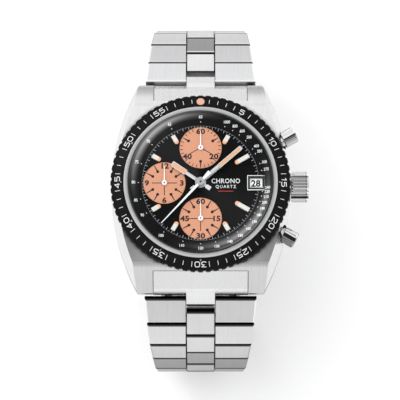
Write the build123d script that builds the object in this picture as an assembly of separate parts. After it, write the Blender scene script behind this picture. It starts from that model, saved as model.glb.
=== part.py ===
from build123d import *
import math
import os

# Chronograph wristwatch on a three-row steel bracelet, closed on its folding clasp.
# Millimetres. Origin at the centre of the case back's outer face, +Z out through the dial,
# +Y towards 12 o'clock, +X towards 3 o'clock (crown). One STEP file per node.

os.makedirs("parts", exist_ok=True)

# ---------------------------------------------------------------- shared dimensions
CASE_BOTTOM, CASE_TOP = 1.2, 8.2
CAVITY_R = 14.8
COLLAR_R, COLLAR_IN, COLLAR_TOP = 16.2, 15.25, 9.9
DIAL_SEAT, DIAL_T = 8.8, 0.4
DIAL_TOP = DIAL_SEAT + DIAL_T
AXIS_Z = 4.9                      # crown and pusher axes
PUSH_ANGLE = 30.0                 # pushers lie this far either side of the crown
PUSH_ANGLES = (PUSH_ANGLE, -PUSH_ANGLE)
PUSH_R = 1.75
BAR_Y, BAR_Z = 20.6, 2.3          # spring bars between the lugs


# ---------------------------------------------------------------- helpers
def disc(radius, z0, z1, x=0.0, y=0.0):
    return Pos(x, y, (z0 + z1) / 2) * Cylinder(radius, z1 - z0)


def hole(radius, x=0.0, y=0.0):
    """Cutter along Z, through any part of the watch head."""
    return disc(radius, -1, 20, x, y)


def tube(outer_r, inner_r, z0, z1):
    return disc(outer_r, z0, z1) - disc(inner_r, z0 - 1, z1 + 1)


def block(x0, x1, y0, y1, z0, z1):
    """Box between two corners; each pair may come in either order."""
    centre = Pos((x0 + x1) / 2, (y0 + y1) / 2, (z0 + z1) / 2)
    return centre * Box(abs(x1 - x0), abs(y1 - y0), abs(z1 - z0))


def rod(radius, x0, x1, y=0.0, z=0.0):
    return Pos((x0 + x1) / 2, y, z) * Rot(0, 90, 0) * Cylinder(radius, abs(x1 - x0))


def cross_hole(radius, y=0.0, z=0.0):
    """Cutter along X, through any link or blade."""
    return rod(radius, -20, 20, y, z)


def radial(radius, x0, x1=30):
    """Rod on the crown axis; without x1 it runs clear of the case, as a cutter."""
    return rod(radius, x0, x1, 0, AXIS_Z)


def revolved(points, x=0.0):
    """Polygon in (radius, z) turned about a Z axis at x."""
    face = Plane.XZ * make_face(Polyline(*points, close=True))
    return Pos(x, 0, 0) * revolve(face, Axis.Z)


def prism(points, x0, x1):
    """Polygon in (y, z) extruded along X."""
    face = Plane.YZ * make_face(Polyline(*points, close=True))
    return Pos(x0, 0, 0) * extrude(face, amount=x1 - x0)


def plate(points, z0, z1):
    """Polygon in (x, y) extruded along Z."""
    face = make_face(Polyline(*points, close=True))
    return Pos(0, 0, z0) * extrude(face, amount=z1 - z0)


def turned(solid, angle):
    """Turn about Z, degrees anticlockwise seen from the dial side."""
    return Rot(0, 0, angle) * solid


def ring(solid, count, phase=0.0):
    return [turned(solid, 360 * i / count + phase) for i in range(count)]


def round_edges(part):
    return part.edges().filter_by(GeomType.CIRCLE)


def top_edges(part):
    return part.faces().sort_by(Axis.Z)[-1].edges()


def save(name, *parts):
    solids = [solid for part in parts for solid in part.solids()]
    if len(solids) > 1:
        shape = Compound(children=[Solid(solid.wrapped) for solid in solids])
    else:
        shape = solids[0]
    export_step(shape, f"parts/{name}.step")


# ---------------------------------------------------------------- case middle
CASE_HALF_W = 19.05
SIDE_R = 46.5                     # radius of the long curved flanks in plan
FLANK_Z, FLANK_TAPER = 4.0, 20.0  # above this height the flanks lean in, degrees
TIP_Y, CREASE_Y = 22.72, 17.0     # lug tip, and where the lugs start to fall away
LUG_SHOULDER_Y = 22.6
LUG_GAP, SLOT_Y = 20.1, 18.35


def lug_top(y):
    return CASE_TOP - (y - CREASE_Y) * (CASE_TOP - 3.5) / (TIP_Y - CREASE_Y)


def flank(side):
    """Large tapered disc whose edge is one flank of the case."""
    top_r = SIDE_R - (CASE_TOP - FLANK_Z) * math.tan(math.radians(FLANK_TAPER))
    points = [(0, -1), (SIDE_R, -1), (SIDE_R, FLANK_Z), (top_r, CASE_TOP), (0, CASE_TOP)]
    return revolved(points, side * (CASE_HALF_W - SIDE_R))


def case_middle():
    under_side = [(TIP_Y, 3.0), (22.2, 1.0), (21.5, 0.6), (18.4, 0.6), (16.7, CASE_BOTTOM)]
    upper_side = [(LUG_SHOULDER_Y, lug_top(LUG_SHOULDER_Y)), (CREASE_Y, CASE_TOP)]
    profile = [(-y, z) for y, z in under_side] + under_side[::-1]
    profile += upper_side + [(-y, z) for y, z in upper_side[::-1]]
    case = flank(1) & flank(-1) & prism(profile, -20, 20)
    case = case + disc(COLLAR_R, CASE_TOP - 0.5, COLLAR_TOP)
    case = case - hole(CAVITY_R) - disc(COLLAR_IN, DIAL_SEAT, 20)
    for side in (1, -1):
        case -= block(-LUG_GAP / 2, LUG_GAP / 2, side * SLOT_Y, side * 30, -1, 20)
        case -= rod(0.45, -11.2, 11.2, side * BAR_Y, BAR_Z)
    case -= tube(15.6, 15.08, 0, 1.75)                           # back gasket groove
    case -= tube(17.2, 16.32, CASE_TOP - 0.25, CASE_TOP + 0.01)  # click spring groove
    case -= radial(1.45, 10)                                     # crown tube hole
    for angle in PUSH_ANGLES:
        case -= turned(radial(1.22, 10), angle)                  # pusher tube hole
        case -= turned(radial(PUSH_R + 0.06, 19.4), angle)       # pusher seat
    return case


save("case_middle", case_middle())

# ---------------------------------------------------------------- case back and gaskets
BACK_FLANGE_TOP = CASE_BOTTOM - 0.02
BACK_CLEARANCE = 0.03             # radial, inside the case cavity

back = disc(16.0, 0, BACK_FLANGE_TOP)
back += disc(CAVITY_R - BACK_CLEARANCE, BACK_FLANGE_TOP, 1.95)
back = chamfer(round_edges(back).sort_by(Axis.Z)[0], 0.25)
back -= ring(block(14.4, 17, -0.9, 0.9, -1, 0.45), 6, 30)        # rim notches
back -= tube(12.4, 12.1, -1, 0.12) + tube(9.1, 8.9, -1, 0.12)    # shallow outer-face rings
save("case_back", back)
save("case_gaskets",
     tube(15.58, 15.1, CASE_BOTTOM + 0.005, 1.72),
     tube(15.22, 15.04, 9.45, 10.5))

# ---------------------------------------------------------------- crystal, its ring, flange
CRYSTAL_R, CRYSTAL_BOTTOM, CRYSTAL_TOP = 15.0, 10.36, 12.8
DOME_R, DOME_Z = 14.55, 12.0      # where the outer dome meets the bevel
HOLLOW_R, HOLLOW_TOP, HOLLOW_SAG = 13.9, 11.45, 0.5
DOME_STEPS = 14


def crystal():
    outer = [(CRYSTAL_R, CRYSTAL_BOTTOM), (CRYSTAL_R, 11.55), (DOME_R, DOME_Z)]
    inner = [(0, HOLLOW_TOP)]
    for i in range(1, DOME_STEPS):
        r = DOME_R * (1 - i / DOME_STEPS)
        outer.append((r, DOME_Z + (CRYSTAL_TOP - DOME_Z) * (1 - (r / DOME_R) ** 2)))
        r = HOLLOW_R * i / DOME_STEPS
        inner.append((r, HOLLOW_TOP - HOLLOW_SAG * (r / HOLLOW_R) ** 2))
    outer.append((0, CRYSTAL_TOP))
    inner += [(HOLLOW_R, HOLLOW_TOP - HOLLOW_SAG), (14.3, CRYSTAL_BOTTOM)]
    return revolved(outer + inner)


save("crystal", crystal())

ring_z = COLLAR_TOP + 0.01
save("crystal_ring", revolved([
    (COLLAR_IN, ring_z), (COLLAR_R, ring_z), (COLLAR_R, 10.45),
    (16.05, 10.6), (15.4, 10.6), (COLLAR_IN, 10.5)]))

FRAME_X0, FRAME_X1, FRAME_HALF_Y = 9.8, 13.52, 1.62
flange_z = DIAL_TOP + 0.01
flange_ring = revolved([(12.5, flange_z), (15.0, flange_z), (15.0, 10.3), (14.9, 10.3),
                        (12.5, 9.32)])
flange_ring -= block(12, FRAME_X1 + 0.05, -FRAME_HALF_Y - 0.05, FRAME_HALF_Y + 0.05,
                     9, 11)                                      # room for the date frame
save("flange_ring", flange_ring)

# ---------------------------------------------------------------- bezel
BEZEL_IN, BEZEL_OUT, BEZEL_BOTTOM = 16.28, 19.0, 8.28
SCALLOPS, SCALLOP_R = 72, 0.5
INSERT_IN, INSERT_IN_Z = 16.46, 10.15      # insert's upper face, inner edge
INSERT_OUT, INSERT_OUT_Z = 18.6, 9.36      # insert's upper face, outer edge
PIP_R = 0.85

bezel = revolved([
    (BEZEL_IN, BEZEL_BOTTOM), (BEZEL_OUT, BEZEL_BOTTOM), (BEZEL_OUT, 9.12), (18.82, 9.36),
    (18.63, 9.36), (18.63, 8.93), (16.43, 9.73), (16.43, 10.18), (BEZEL_IN, 10.18)])
bezel = bezel - ring(disc(SCALLOP_R, 8, 10, BEZEL_OUT + 0.24), SCALLOPS, 180 / SCALLOPS)
bezel -= tube(17.7, 17.3, 8, 8.55)                               # click track
save("bezel_ring", bezel)

insert_slope = math.degrees(math.atan((INSERT_IN_Z - INSERT_OUT_Z) / (INSERT_OUT - INSERT_IN)))
pip_place = Pos(0, 17.45, 9.784) * Rot(-insert_slope, 0, 0)      # square to the insert
insert = revolved([(INSERT_IN, INSERT_IN_Z), (INSERT_OUT, INSERT_OUT_Z),
                   (INSERT_OUT, 8.96), (INSERT_IN, 9.76)])
insert -= pip_place * disc(PIP_R + 0.02, -1, 1)
pip = disc(PIP_R, -0.34, 0.14)
pip = pip_place * fillet(round_edges(pip).sort_by(Axis.Z)[-1], 0.12)
save("bezel_insert", insert, pip)

click_spring = tube(17.12, 16.42, CASE_TOP - 0.22, CASE_TOP)
click_spring -= block(-1.2, 1.2, -18, -15, 7, 9)                 # gap at 6 o'clock
save("bezel_click_spring", click_spring)

# ---------------------------------------------------------------- dial, markers, date frame
SUBDIAL_R, SUBDIAL_OFFSET, SUBDIAL_DEPTH = 4.5, 7.62, 0.15
SUBDIALS = {                      # hand name: centre (x, y)
    "minute_counter_hand": (0, SUBDIAL_OFFSET),
    "hour_counter_hand": (-SUBDIAL_OFFSET, 0),
    "small_seconds_hand": (0, -SUBDIAL_OFFSET),
}
MARK_OUT, MARK_IN, MARK_IN_LONG, MARK_HALF_W = 11.75, 9.7, 8.4, 0.475
MARK_ANGLES = (30, 60, 120, 150, 210, 240, 300, 330)   # clockwise from 12
LONG_MARKS = (60, 120)
APPLIED_Z = DIAL_TOP + 0.004      # underside of the markers and date frame

date_window = block(10.35, 13.0, -1.02, 1.02, 0, 20)

dial = disc(15.15, DIAL_SEAT, DIAL_TOP) - hole(0.95)
for x, y in SUBDIALS.values():
    dial -= disc(SUBDIAL_R, DIAL_TOP - SUBDIAL_DEPTH, 20, x, y)
    dial -= hole(0.3, x, y)
dial -= date_window
save("dial", dial)


def hour_marker(angle):
    """Bar with a rounded inner end."""
    inner_y = (MARK_IN_LONG if angle in LONG_MARKS else MARK_IN) + MARK_HALF_W
    top = DIAL_TOP + 0.38
    marker = block(-MARK_HALF_W, MARK_HALF_W, inner_y, MARK_OUT, APPLIED_Z, top)
    marker += disc(MARK_HALF_W, APPLIED_Z, top, 0, inner_y)
    return turned(chamfer(top_edges(marker), 0.1), -angle)


save("hour_markers", *[hour_marker(angle) for angle in MARK_ANGLES])

frame = block(FRAME_X0, FRAME_X1, -FRAME_HALF_Y, FRAME_HALF_Y, APPLIED_Z, DIAL_TOP + 0.26)
frame = frame - date_window
save("date_frame", chamfer(top_edges(frame), 0.08))

# ---------------------------------------------------------------- motion work dimensions
# Cannon pinion drives minute wheel, whose pinion drives the hour wheel.
MODULE = 0.2
CANNON_TEETH, MINUTE_TEETH, PINION_TEETH, HOUR_TEETH = 10, 30, 8, 32
MINUTE_DIST = MODULE * (CANNON_TEETH + MINUTE_TEETH) / 2
MINUTE_AT = (MINUTE_DIST * math.sqrt(0.5), -MINUTE_DIST * math.sqrt(0.5))

# ---------------------------------------------------------------- movement
SCREWS = [(-10.5, 5.5), (0.0, -11.5), (3.5, 11.2)]
BATTERY_AT = (-5.5, -5.0)
ROTOR_AT = (2.0, 7.5)
PIVOT_X, PIVOT_Y = 10.7, 4.0      # lever pivot, x along its pusher and y across


def lever_posts():
    cosine = math.cos(math.radians(PUSH_ANGLE))
    sine = math.sin(math.radians(PUSH_ANGLE))
    x = PIVOT_X * cosine - PIVOT_Y * sine
    y = PIVOT_X * sine + PIVOT_Y * cosine
    return [(x, y), (x, -y)]


def main_plate():
    main = disc(13.1, 5.9, 8.2)
    main -= disc(1.3, 7.3, 9)                                    # cannon pinion well
    main -= disc(3.28, 7.42, 9, *MINUTE_AT)                      # minute wheel well
    main -= hole(0.43)
    for x, y in SUBDIALS.values():
        main -= disc(0.26, 7.2, 9, x, y)
    main += disc(0.35, 7.3, 8.6, *MINUTE_AT)                     # minute wheel post
    for x, y in SCREWS:
        main += disc(1.0, 3.72, 5.95, x, y)
        main -= disc(0.44, 3, 6.8, x, y)
    for x, y in lever_posts():
        main += disc(0.45, 4.3, 5.95, x, y)
    main -= disc(0.18, 5, 6.4, *ROTOR_AT)
    return main


save("main_plate", main_plate())

holder = tube(14.72, 13.2, 2.05, 8.3) + tube(14.72, 13.45, 8.3, DIAL_SEAT - 0.02)
holder -= radial(1.6, 10)
for angle in PUSH_ANGLES:
    holder -= turned(radial(1.3, 10), angle)
save("movement_holder", holder)

bridge = disc(12.9, 3.0, 3.7) - hole(4.95, *BATTERY_AT) - hole(0.18, *ROTOR_AT)
bridge -= block(6.5, 14, -3.5, 3.5, 2, 5)                        # notch at 3 o'clock
for x, y in SCREWS:
    bridge -= hole(0.44, x, y)
save("train_bridge", bridge)

BOARD_BOTTOM = 2.3
board = disc(12.6, BOARD_BOTTOM, 2.72) - hole(5.0, *BATTERY_AT)
for x, y in SCREWS:
    board -= hole(0.95, x, y)
board -= block(8.5, 14, -3.5, 3.5, 2, 5)                         # notch at 3 o'clock
chip = block(1.5, 4.5, -2.0, 1.0, 2.04, BOARD_BOTTOM)
can = block(-3.0, 3.0, 4.2, 6.0, 2.02, BOARD_BOTTOM)
save("circuit_board", board, chip, can)

save("battery", disc(4.75, 2.35, 3.9, *BATTERY_AT) + disc(4.2, 3.9, 4.45, *BATTERY_AT))

coil_core = block(-8.2, 1.1, 8.2, 9.0, 4.4, 5.2)
winding = block(-6.6, -0.6, 7.5, 9.7, 3.76, 5.84) - block(-9, 2, 8.17, 9.03, 4.37, 5.23)
save("drive_coil", coil_core, winding)


def screw(x, y):
    head = disc(0.8, 2.62, 2.98, x, y) - block(x - 1, x + 1, y - 0.12, y + 0.12, 2, 2.78)
    return head + disc(0.42, 2.9, 6.6, x, y)


save("movement_screws", *[screw(x, y) for x, y in SCREWS])
save("stepper_rotor", disc(0.7, 4.1, 5.5, *ROTOR_AT) + disc(0.15, 3.2, 6.3, *ROTOR_AT))

DATE_DISC_IN = 9.95
date_disc = tube(13.25, DATE_DISC_IN, 8.34, 8.62)
save("date_disc", date_disc - ring(hole(0.22, DATE_DISC_IN), 31))


# ---------------------------------------------------------------- motion work
def gear(teeth, z0, z1, phase, x=0.0, y=0.0):
    """Involute spur gear, a tooth centred on the phase direction (degrees)."""
    pressure = math.radians(20)
    pitch_r = MODULE * teeth / 2
    base_r = pitch_r * math.cos(pressure)
    tip_r = pitch_r + 0.92 * MODULE
    root_r = pitch_r - 1.25 * MODULE
    half_at_pitch = math.pi / (2 * teeth) - 0.02 / pitch_r       # thinned for backlash
    half_at_base = half_at_pitch + math.tan(pressure) - pressure
    flank_points = [(root_r, half_at_base)] if root_r < base_r else []   # (radius, half angle)
    start_r = max(base_r, root_r)
    for i in range(4):
        r = start_r + (tip_r - start_r) * i / 3
        roll = math.sqrt(max(0.0, (r / base_r) ** 2 - 1))
        flank_points.append((r, half_at_base - (roll - math.atan(roll))))
    tooth = [(r, -half) for r, half in flank_points] + flank_points[::-1]
    points = []
    for k in range(teeth):
        centre = math.radians(phase) + 2 * math.pi * k / teeth
        for r, offset in tooth:
            points.append((r * math.cos(centre + offset), r * math.sin(centre + offset)))
    return Pos(x, y, 0) * plate(points, z0, z1)


hour_wheel = gear(HOUR_TEETH, 8.3, 8.58, -45 + 180 / HOUR_TEETH)
hour_wheel = hour_wheel + disc(0.85, 8.3, 9.93) - hole(0.66)
save("hour_wheel", hour_wheel - ring(hole(0.55, 2.05), 4, 45))

save("cannon_pinion", gear(CANNON_TEETH, 7.36, 7.9, -45) + disc(0.62, 7.9, 10.33) - hole(0.43))

minute_wheel = gear(MINUTE_TEETH, 7.48, 7.78, 135 + 180 / MINUTE_TEETH, *MINUTE_AT)
minute_wheel = minute_wheel + gear(PINION_TEETH, 7.7, 8.6, 135, *MINUTE_AT)
save("minute_wheel", minute_wheel - hole(0.39, *MINUTE_AT))

# ---------------------------------------------------------------- hands
HOUR_ANGLE, MINUTE_ANGLE, CHRONO_ANGLE = 304.1, 49.0, 222.8      # clockwise from 12
CHRONO_LENGTH = 12.2
HAND_T = 0.18


def baton(length, tail, width, z0, hub_r, hole_r, neck, neck_width):
    """Square-ended hand along +Y; the blade starts at neck and a stem joins it to the hub."""
    z1 = z0 + HAND_T
    half, stem_half, corner = width / 2, neck_width / 2, 0.12
    blade = plate([(-half, neck), (half, neck), (half, length - corner),
                   (half - corner, length), (-half + corner, length),
                   (-half, length - corner)], z0, z1)
    stem = plate([(-stem_half, 0), (stem_half, 0), (stem_half, neck + 0.01),
                  (-stem_half, neck + 0.01)], z0, z1)
    tail_piece = plate([(-0.45, -tail), (0.45, -tail), (0.45, -tail + 0.95),
                        (0.26, -tail + 1.15), (0.26, 0), (-0.26, 0),
                        (-0.26, -tail + 1.15), (-0.45, -tail + 0.95)], z0, z1)
    return blade + stem + tail_piece + disc(hub_r, z0, z1) - hole(hole_r)


hour_hand = baton(length=7.3, tail=2.5, width=1.15, z0=9.72, hub_r=1.14, hole_r=0.86,
                  neck=3.7, neck_width=0.78)
minute_hand = baton(length=11.4, tail=2.6, width=0.94, z0=10.12, hub_r=0.95, hole_r=0.63,
                    neck=4.9, neck_width=0.94)
save("hour_hand", turned(hour_hand, -HOUR_ANGLE))
save("minute_hand", turned(minute_hand, -MINUTE_ANGLE))


def chrono_hand():
    z0, z1 = 10.52, 10.66
    shoulder = CHRONO_LENGTH - 0.1
    hand = plate([(-0.28, 0), (-0.07, shoulder), (0, CHRONO_LENGTH), (0.07, shoulder),
                  (0.28, 0)], z0, z1)
    hand += plate([(-0.2, 0.2), (-0.42, -2.85), (0.42, -2.85), (0.2, 0.2)], z0, z1)
    hand += disc(0.78, 10.5, 10.76) + disc(0.4, 5.5, 10.6)
    centre_pin = disc(0.13, 10.5, 10.86)
    hand -= disc(0.16, 10.62, 11) - centre_pin                   # fine groove round the pin
    return hand + centre_pin


def subdial_hand():
    length = 3.55
    hand = plate([(-0.15, 0), (-0.06, length), (0.06, length), (0.15, 0)], 9.4, 9.52)
    hand += disc(0.53, 9.38, 9.58) + disc(0.2, 7.4, 9.4) + disc(1.15, 8.32, 8.55)
    hand += disc(0.11, 9.5, 9.66)
    return hand


save("chrono_seconds_hand", turned(chrono_hand(), -CHRONO_ANGLE))
for name, (x, y) in SUBDIALS.items():
    save(name, Pos(x, y, 0) * subdial_hand())

# ---------------------------------------------------------------- crown, stem, pushers, levers
CROWN_R, CROWN_X0, CROWN_X1, CROWN_FLUTES = 3.25, 19.15, 22.8, 30
PUSH_OUT = 23.15
TUBE_X0 = 14.95
SPRING_X0 = 17.8

crown_tube = radial(1.42, TUBE_X0, 20.55) - radial(0.75, 10)
pusher_tube = radial(1.2, TUBE_X0, 21.3) - radial(0.63, 10) - radial(1.0, 17.6)
save("case_tubes", crown_tube, *[turned(pusher_tube, angle) for angle in PUSH_ANGLES])

crown = chamfer(round_edges(radial(CROWN_R, CROWN_X0, CROWN_X1)), 0.35)
flute = rod(0.25, CROWN_X0 - 0.1, CROWN_X1 - 0.4, 0, CROWN_R + 0.02)
crown = crown - [Pos(0, 0, AXIS_Z) * Rot(360 * i / CROWN_FLUTES, 0, 0) * flute
                 for i in range(CROWN_FLUTES)]
crown -= radial(1.5, CROWN_X0 - 1, 20.9)                         # clears the case tube
crown -= radial(0.73, 20, 22.05)                                 # takes the stem
save("crown", crown)

stem = radial(0.7, 9.0, 22.0)
stem -= radial(0.9, 10.4, 11.0) - radial(0.45, 10.3, 11.1)       # neck groove
save("setting_stem", stem)


def pusher():
    cap = radial(PUSH_R, 20.3, PUSH_OUT)
    cap = chamfer(round_edges(cap).sort_by(Axis.X)[-1], 0.22)
    cap -= radial(1.3, 20, 22.35)
    cap += radial(0.6, 11.2, 22.6)
    return cap


def pusher_spring():
    helix = Helix(pitch=0.42, height=3.3, radius=0.82)
    wire = Plane(origin=helix @ 0, z_dir=helix % 0) * Circle(0.09)
    coil = sweep(wire, path=helix, is_frenet=True)
    return Pos(SPRING_X0, 0, AXIS_Z) * Rot(0, 90, 0) * coil


def lever(arm_x0, arm_y0, head=None):
    """Lever at the upper pusher: x along the pusher and y across it until turned.
    head is (radius, x, y) of a round pad at the arm's end."""
    z0, z1 = 4.6, 5.2
    body = block(10.0, PIVOT_X, -0.3, PIVOT_Y, z0, z1)
    body = body + disc(1.0, z0, z1, PIVOT_X, PIVOT_Y) + disc(0.45, z0, z1, 10.65, 0)
    body += block(arm_x0, 10.6, arm_y0, arm_y0 + 0.9, z0, z1)
    if head:
        radius, x, y = head
        body += disc(radius, z0, z1, x, y)
    body -= hole(0.5, PIVOT_X, PIVOT_Y)
    return turned(body, PUSH_ANGLE)


save("start_pusher", turned(pusher(), PUSH_ANGLE))
save("reset_pusher", turned(pusher(), -PUSH_ANGLE))
save("pusher_springs", *[turned(pusher_spring(), angle) for angle in PUSH_ANGLES])
save("start_lever", lever(7.2, 3.4))
save("reset_hammer", lever(6.6, 3.3, head=(0.8, 6.7, 3.9)).mirror(Plane.XZ))

# ---------------------------------------------------------------- bracelet
# A link's own frame: first pin at the origin, +Y along the bracelet away from the case,
# +Z to the outer face. Slopes are degrees down from +Y.
OUTER_PITCH, CENTRE_PITCH = 3.5, 2.6     # pin spacing in outer links and in centre links
OUTER_REACH, CENTRE_REACH = 1.24, 1.67   # how far links reach past their pins
END_REACH = 0.95                         # the same at the two free ends of a half
LINK_HALF_T = 1.4
CENTRE_HALF_W, OUTER_IN = 3.0, 3.08
PIN_R = 0.5
FIRST_PIN = (23.75, 1.75)                # (y, z)
SLOPES_12 = [32.1, 36.1, 51.7, 69.7, 93.7637, 117.8, 125.2, 135.0266, 155.1]
SLOPES_6 = [37.1, 56.5, 71.8, 77.7, 91.9142, 115.7, 133.442, 154.0]
# full width at each row boundary, from the case on
WIDTHS = [23.6, 22.7, 21.7, 20.7, 19.8, 19.1, 18.6, 18.3, 18.1, 18.0]


def along(point, slope, distance, outward=0.0):
    """Point (y, z) a distance along a slope, and outward from it."""
    cosine, sine = math.cos(math.radians(slope)), math.sin(math.radians(slope))
    return (point[0] + distance * cosine + outward * sine,
            point[1] - distance * sine + outward * cosine)


def pin_chain(slopes):
    """Rows of (first pin, second pin, outer slope, centre slope), and the last pin's place."""
    pin, rows = FIRST_PIN, []
    for slope, next_slope in zip(slopes, slopes[1:] + [180.0]):
        centre_slope = (slope + next_slope) / 2
        second_pin = along(pin, slope, OUTER_PITCH)
        rows.append((pin, second_pin, slope, centre_slope))
        pin = along(second_pin, centre_slope, CENTRE_PITCH)
    return rows, pin


def link_profile(front_reach, pitch, rear_reach):
    start, end, top = -front_reach, pitch + rear_reach, LINK_HALF_T
    return [(start, -0.1), (start, top - 0.36), (start + 0.36, top), (end - 0.2, top),
            (end, top - 0.2), (end, -0.1), (end - 0.7, -top), (start + 0.7, -top)]


def chamfer_top(body, size, chosen):
    """Chamfer the outer-face edges whose centre passes the test."""
    centres = [(edge, edge.center()) for edge in body.edges()]
    picked = [edge for edge, c in centres if c.Z > LINK_HALF_T - 0.02 and chosen(c)]
    return chamfer(picked, size)


def outer_link(row):
    """Link on the +X side, tapering from one row width to the next."""
    wide, narrow = WIDTHS[row] / 2, WIDTHS[row + 1] / 2
    reach = END_REACH if row == 0 else OUTER_REACH
    body = prism(link_profile(reach, OUTER_PITCH, OUTER_REACH), OUTER_IN, wide)
    body = body & plate([(0, -3), (wide, -3), (wide, -reach),
                         (narrow, OUTER_PITCH + OUTER_REACH), (narrow, 9), (0, 9)], -3, 3)

    def lengthwise(c):
        return abs(c.Y - OUTER_PITCH / 2) < 1.0

    body = chamfer_top(body, 0.3, lambda c: c.X > (wide + narrow) / 2 - 0.2 and lengthwise(c))
    body = chamfer_top(body, 0.1, lambda c: c.X < OUTER_IN + 0.05 and lengthwise(c))
    for y in (0, OUTER_PITCH):
        body -= cross_hole(PIN_R + 0.015, y)
    return body


def centre_link(last, second_hole):
    rear_reach = END_REACH if last else CENTRE_REACH
    body = prism(link_profile(CENTRE_REACH, CENTRE_PITCH, rear_reach),
                 -CENTRE_HALF_W, CENTRE_HALF_W)
    body = chamfer_top(body, 0.12, lambda c: abs(c.X) > CENTRE_HALF_W - 0.05)
    body -= cross_hole(PIN_R + 0.015)
    if second_hole:
        body -= cross_hole(PIN_R + 0.05, CENTRE_PITCH)
    if last:
        # bevel the free end so it can turn beside the clasp
        y0, y1 = CENTRE_PITCH + 0.35, CENTRE_PITCH + 1.2
        for side in (1, -1):
            corner = [(y0, side * 1.5), (y0, side * 0.95), (y1, side * 0.2), (y1, side * 1.5)]
            body -= prism(corner, -5, 5)
    return body


def place(solid, point, slope):
    return Pos(0, *point) * Rot(-slope, 0, 0) * solid


def save_half(rows, label, turn, last_hole):
    for k, (first_pin, second_pin, slope, centre_slope) in enumerate(rows):
        last = k == len(rows) - 1
        outer = outer_link(k)
        centre = centre_link(last, last_hole or not last)
        first_half = WIDTHS[k] / 2 - 0.28
        second_half = WIDTHS[k + 1] / 2 - 0.12
        solids = [place(outer, first_pin, slope),
                  place(outer.mirror(Plane.YZ), first_pin, slope),
                  place(centre, second_pin, centre_slope),
                  rod(PIN_R, -first_half, first_half, *first_pin),
                  rod(PIN_R, -second_half, second_half, *second_pin)]
        save(f"link_{label}_{k + 1}", *[turned(solid, turn) for solid in solids])


rows_12, end_12 = pin_chain(SLOPES_12)
rows_6, end_6 = pin_chain(SLOPES_6)
save_half(rows_12, "12", turn=0, last_hole=True)
save_half(rows_6, "6", turn=180, last_hole=False)

# ---------------------------------------------------------------- end links, spring bars
TONGUE_SLOPE = 15
TONGUE_NOSE = [                   # (along, outward) from the first pin
    (-1.0, 1.4), (0.3, 1.4), (0.72, 1.2), (1.02, 0.82), (1.18, 0.35), (1.2, -0.2),
    (1.05, -0.7), (0.7, -1.15), (0.2, -1.38), (-1.2, -1.4)]

end_link = prism([(18.41, 1.0), (18.41, lug_top(18.41) - 0.2), (21.7, lug_top(21.7) - 0.2),
                  (22.66, 2.95), (22.66, 2.0), (22.3, 0.8)], -9.98, 9.98)
tongue = [(21.9, 0.8), (21.9, 3.4)]
tongue += [along(FIRST_PIN, TONGUE_SLOPE, *offset) for offset in TONGUE_NOSE]
end_link = end_link + prism(tongue, -CENTRE_HALF_W, CENTRE_HALF_W)
end_link -= cross_hole(PIN_R + 0.05, *FIRST_PIN)
end_link -= cross_hole(0.6, BAR_Y, BAR_Z)
spring_bar = rod(0.55, -9.9, 9.9, BAR_Y, BAR_Z) + rod(0.4, -10.9, 10.9, BAR_Y, BAR_Z)
save("end_links", end_link, spring_bar, turned(end_link, 180), turned(spring_bar, 180))

# ---------------------------------------------------------------- folding clasp
COVER_Y, CLASP_Z = end_12         # cover's spring bar
LAST_PIN_Y = -end_6[0]            # last pin of the 6 o'clock half
COVER_BOTTOM, COVER_T = CLASP_Z - 1.6, 0.7
COVER_HINGE = (-15.5, CLASP_Z)    # (y, z), cover to middle blade
BLADE_HINGE = (14.0, CLASP_Z + 0.95)     # middle blade to inner blade
CATCH_HINGE = (-8.4, COVER_BOTTOM + 0.42)


def tongue_room(z1):
    """Cutter at the free end of cover and catch, for the inner blade's tongue."""
    return block(-3.3, 3.3, -18.0, -15.1, COVER_BOTTOM - 1, z1)


def clasp_cover():
    wall = prism([(-17.0, COVER_BOTTOM), (COVER_Y - 0.4, COVER_BOTTOM),
                  (COVER_Y + 0.35, COVER_BOTTOM + 0.35), (COVER_Y + 1.15, CLASP_Z - 0.3),
                  (COVER_Y + 1.15, CLASP_Z + 0.4), (COVER_Y + 0.5, CLASP_Z + 1.1),
                  (-16.4, CLASP_Z + 1.1), (-17.0, CLASP_Z + 0.5)], 8.2, 9.0)
    floor = block(-8.25, 8.25, -17.0, COVER_Y - 1.75, COVER_BOTTOM, COVER_BOTTOM + COVER_T)
    cover = wall + wall.mirror(Plane.YZ) + floor
    cover -= block(-8.2, 8.2, -18.0, -7.9, COVER_BOTTOM - 1, COVER_BOTTOM + 0.44)
    cover -= rod(0.5, -8.2, 8.2, *CATCH_HINGE)
    cover -= rod(0.24, -8.8, 8.8, *CATCH_HINGE)
    cover -= tongue_room(CLASP_Z - 0.6)
    cover -= rod(0.315, -8.95, 8.95, *COVER_HINGE)
    cover -= rod(PIN_R + 0.02, -8.95, 8.95, COVER_Y, CLASP_Z)
    return cover


def middle_blade():
    z0, z1 = CLASP_Z - 0.4, CLASP_Z + 0.4
    hinge_y, hinge_z = BLADE_HINGE
    blade = block(-6.5, 6.5, COVER_HINGE[0], hinge_y - 0.95, z0, z1)
    blade = blade + rod(0.55, -6.5, 6.5, *COVER_HINGE)
    for side in (1, -1):
        x0, x1 = side * 4.0, side * 6.5
        blade += block(x0, x1, hinge_y - 1.1, hinge_y + 0.55, z0, z1)
        blade += (rod(0.75, x0, x1, *BLADE_HINGE)
                  + block(x0, x1, hinge_y - 0.75, hinge_y + 0.75, CLASP_Z, hinge_z))
    blade -= cross_hole(0.33, *COVER_HINGE)
    blade -= cross_hole(0.415, *BLADE_HINGE)
    blade -= block(-3.2, 3.2, -6, 9, CLASP_Z - 2, CLASP_Z + 2)
    return blade


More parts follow.
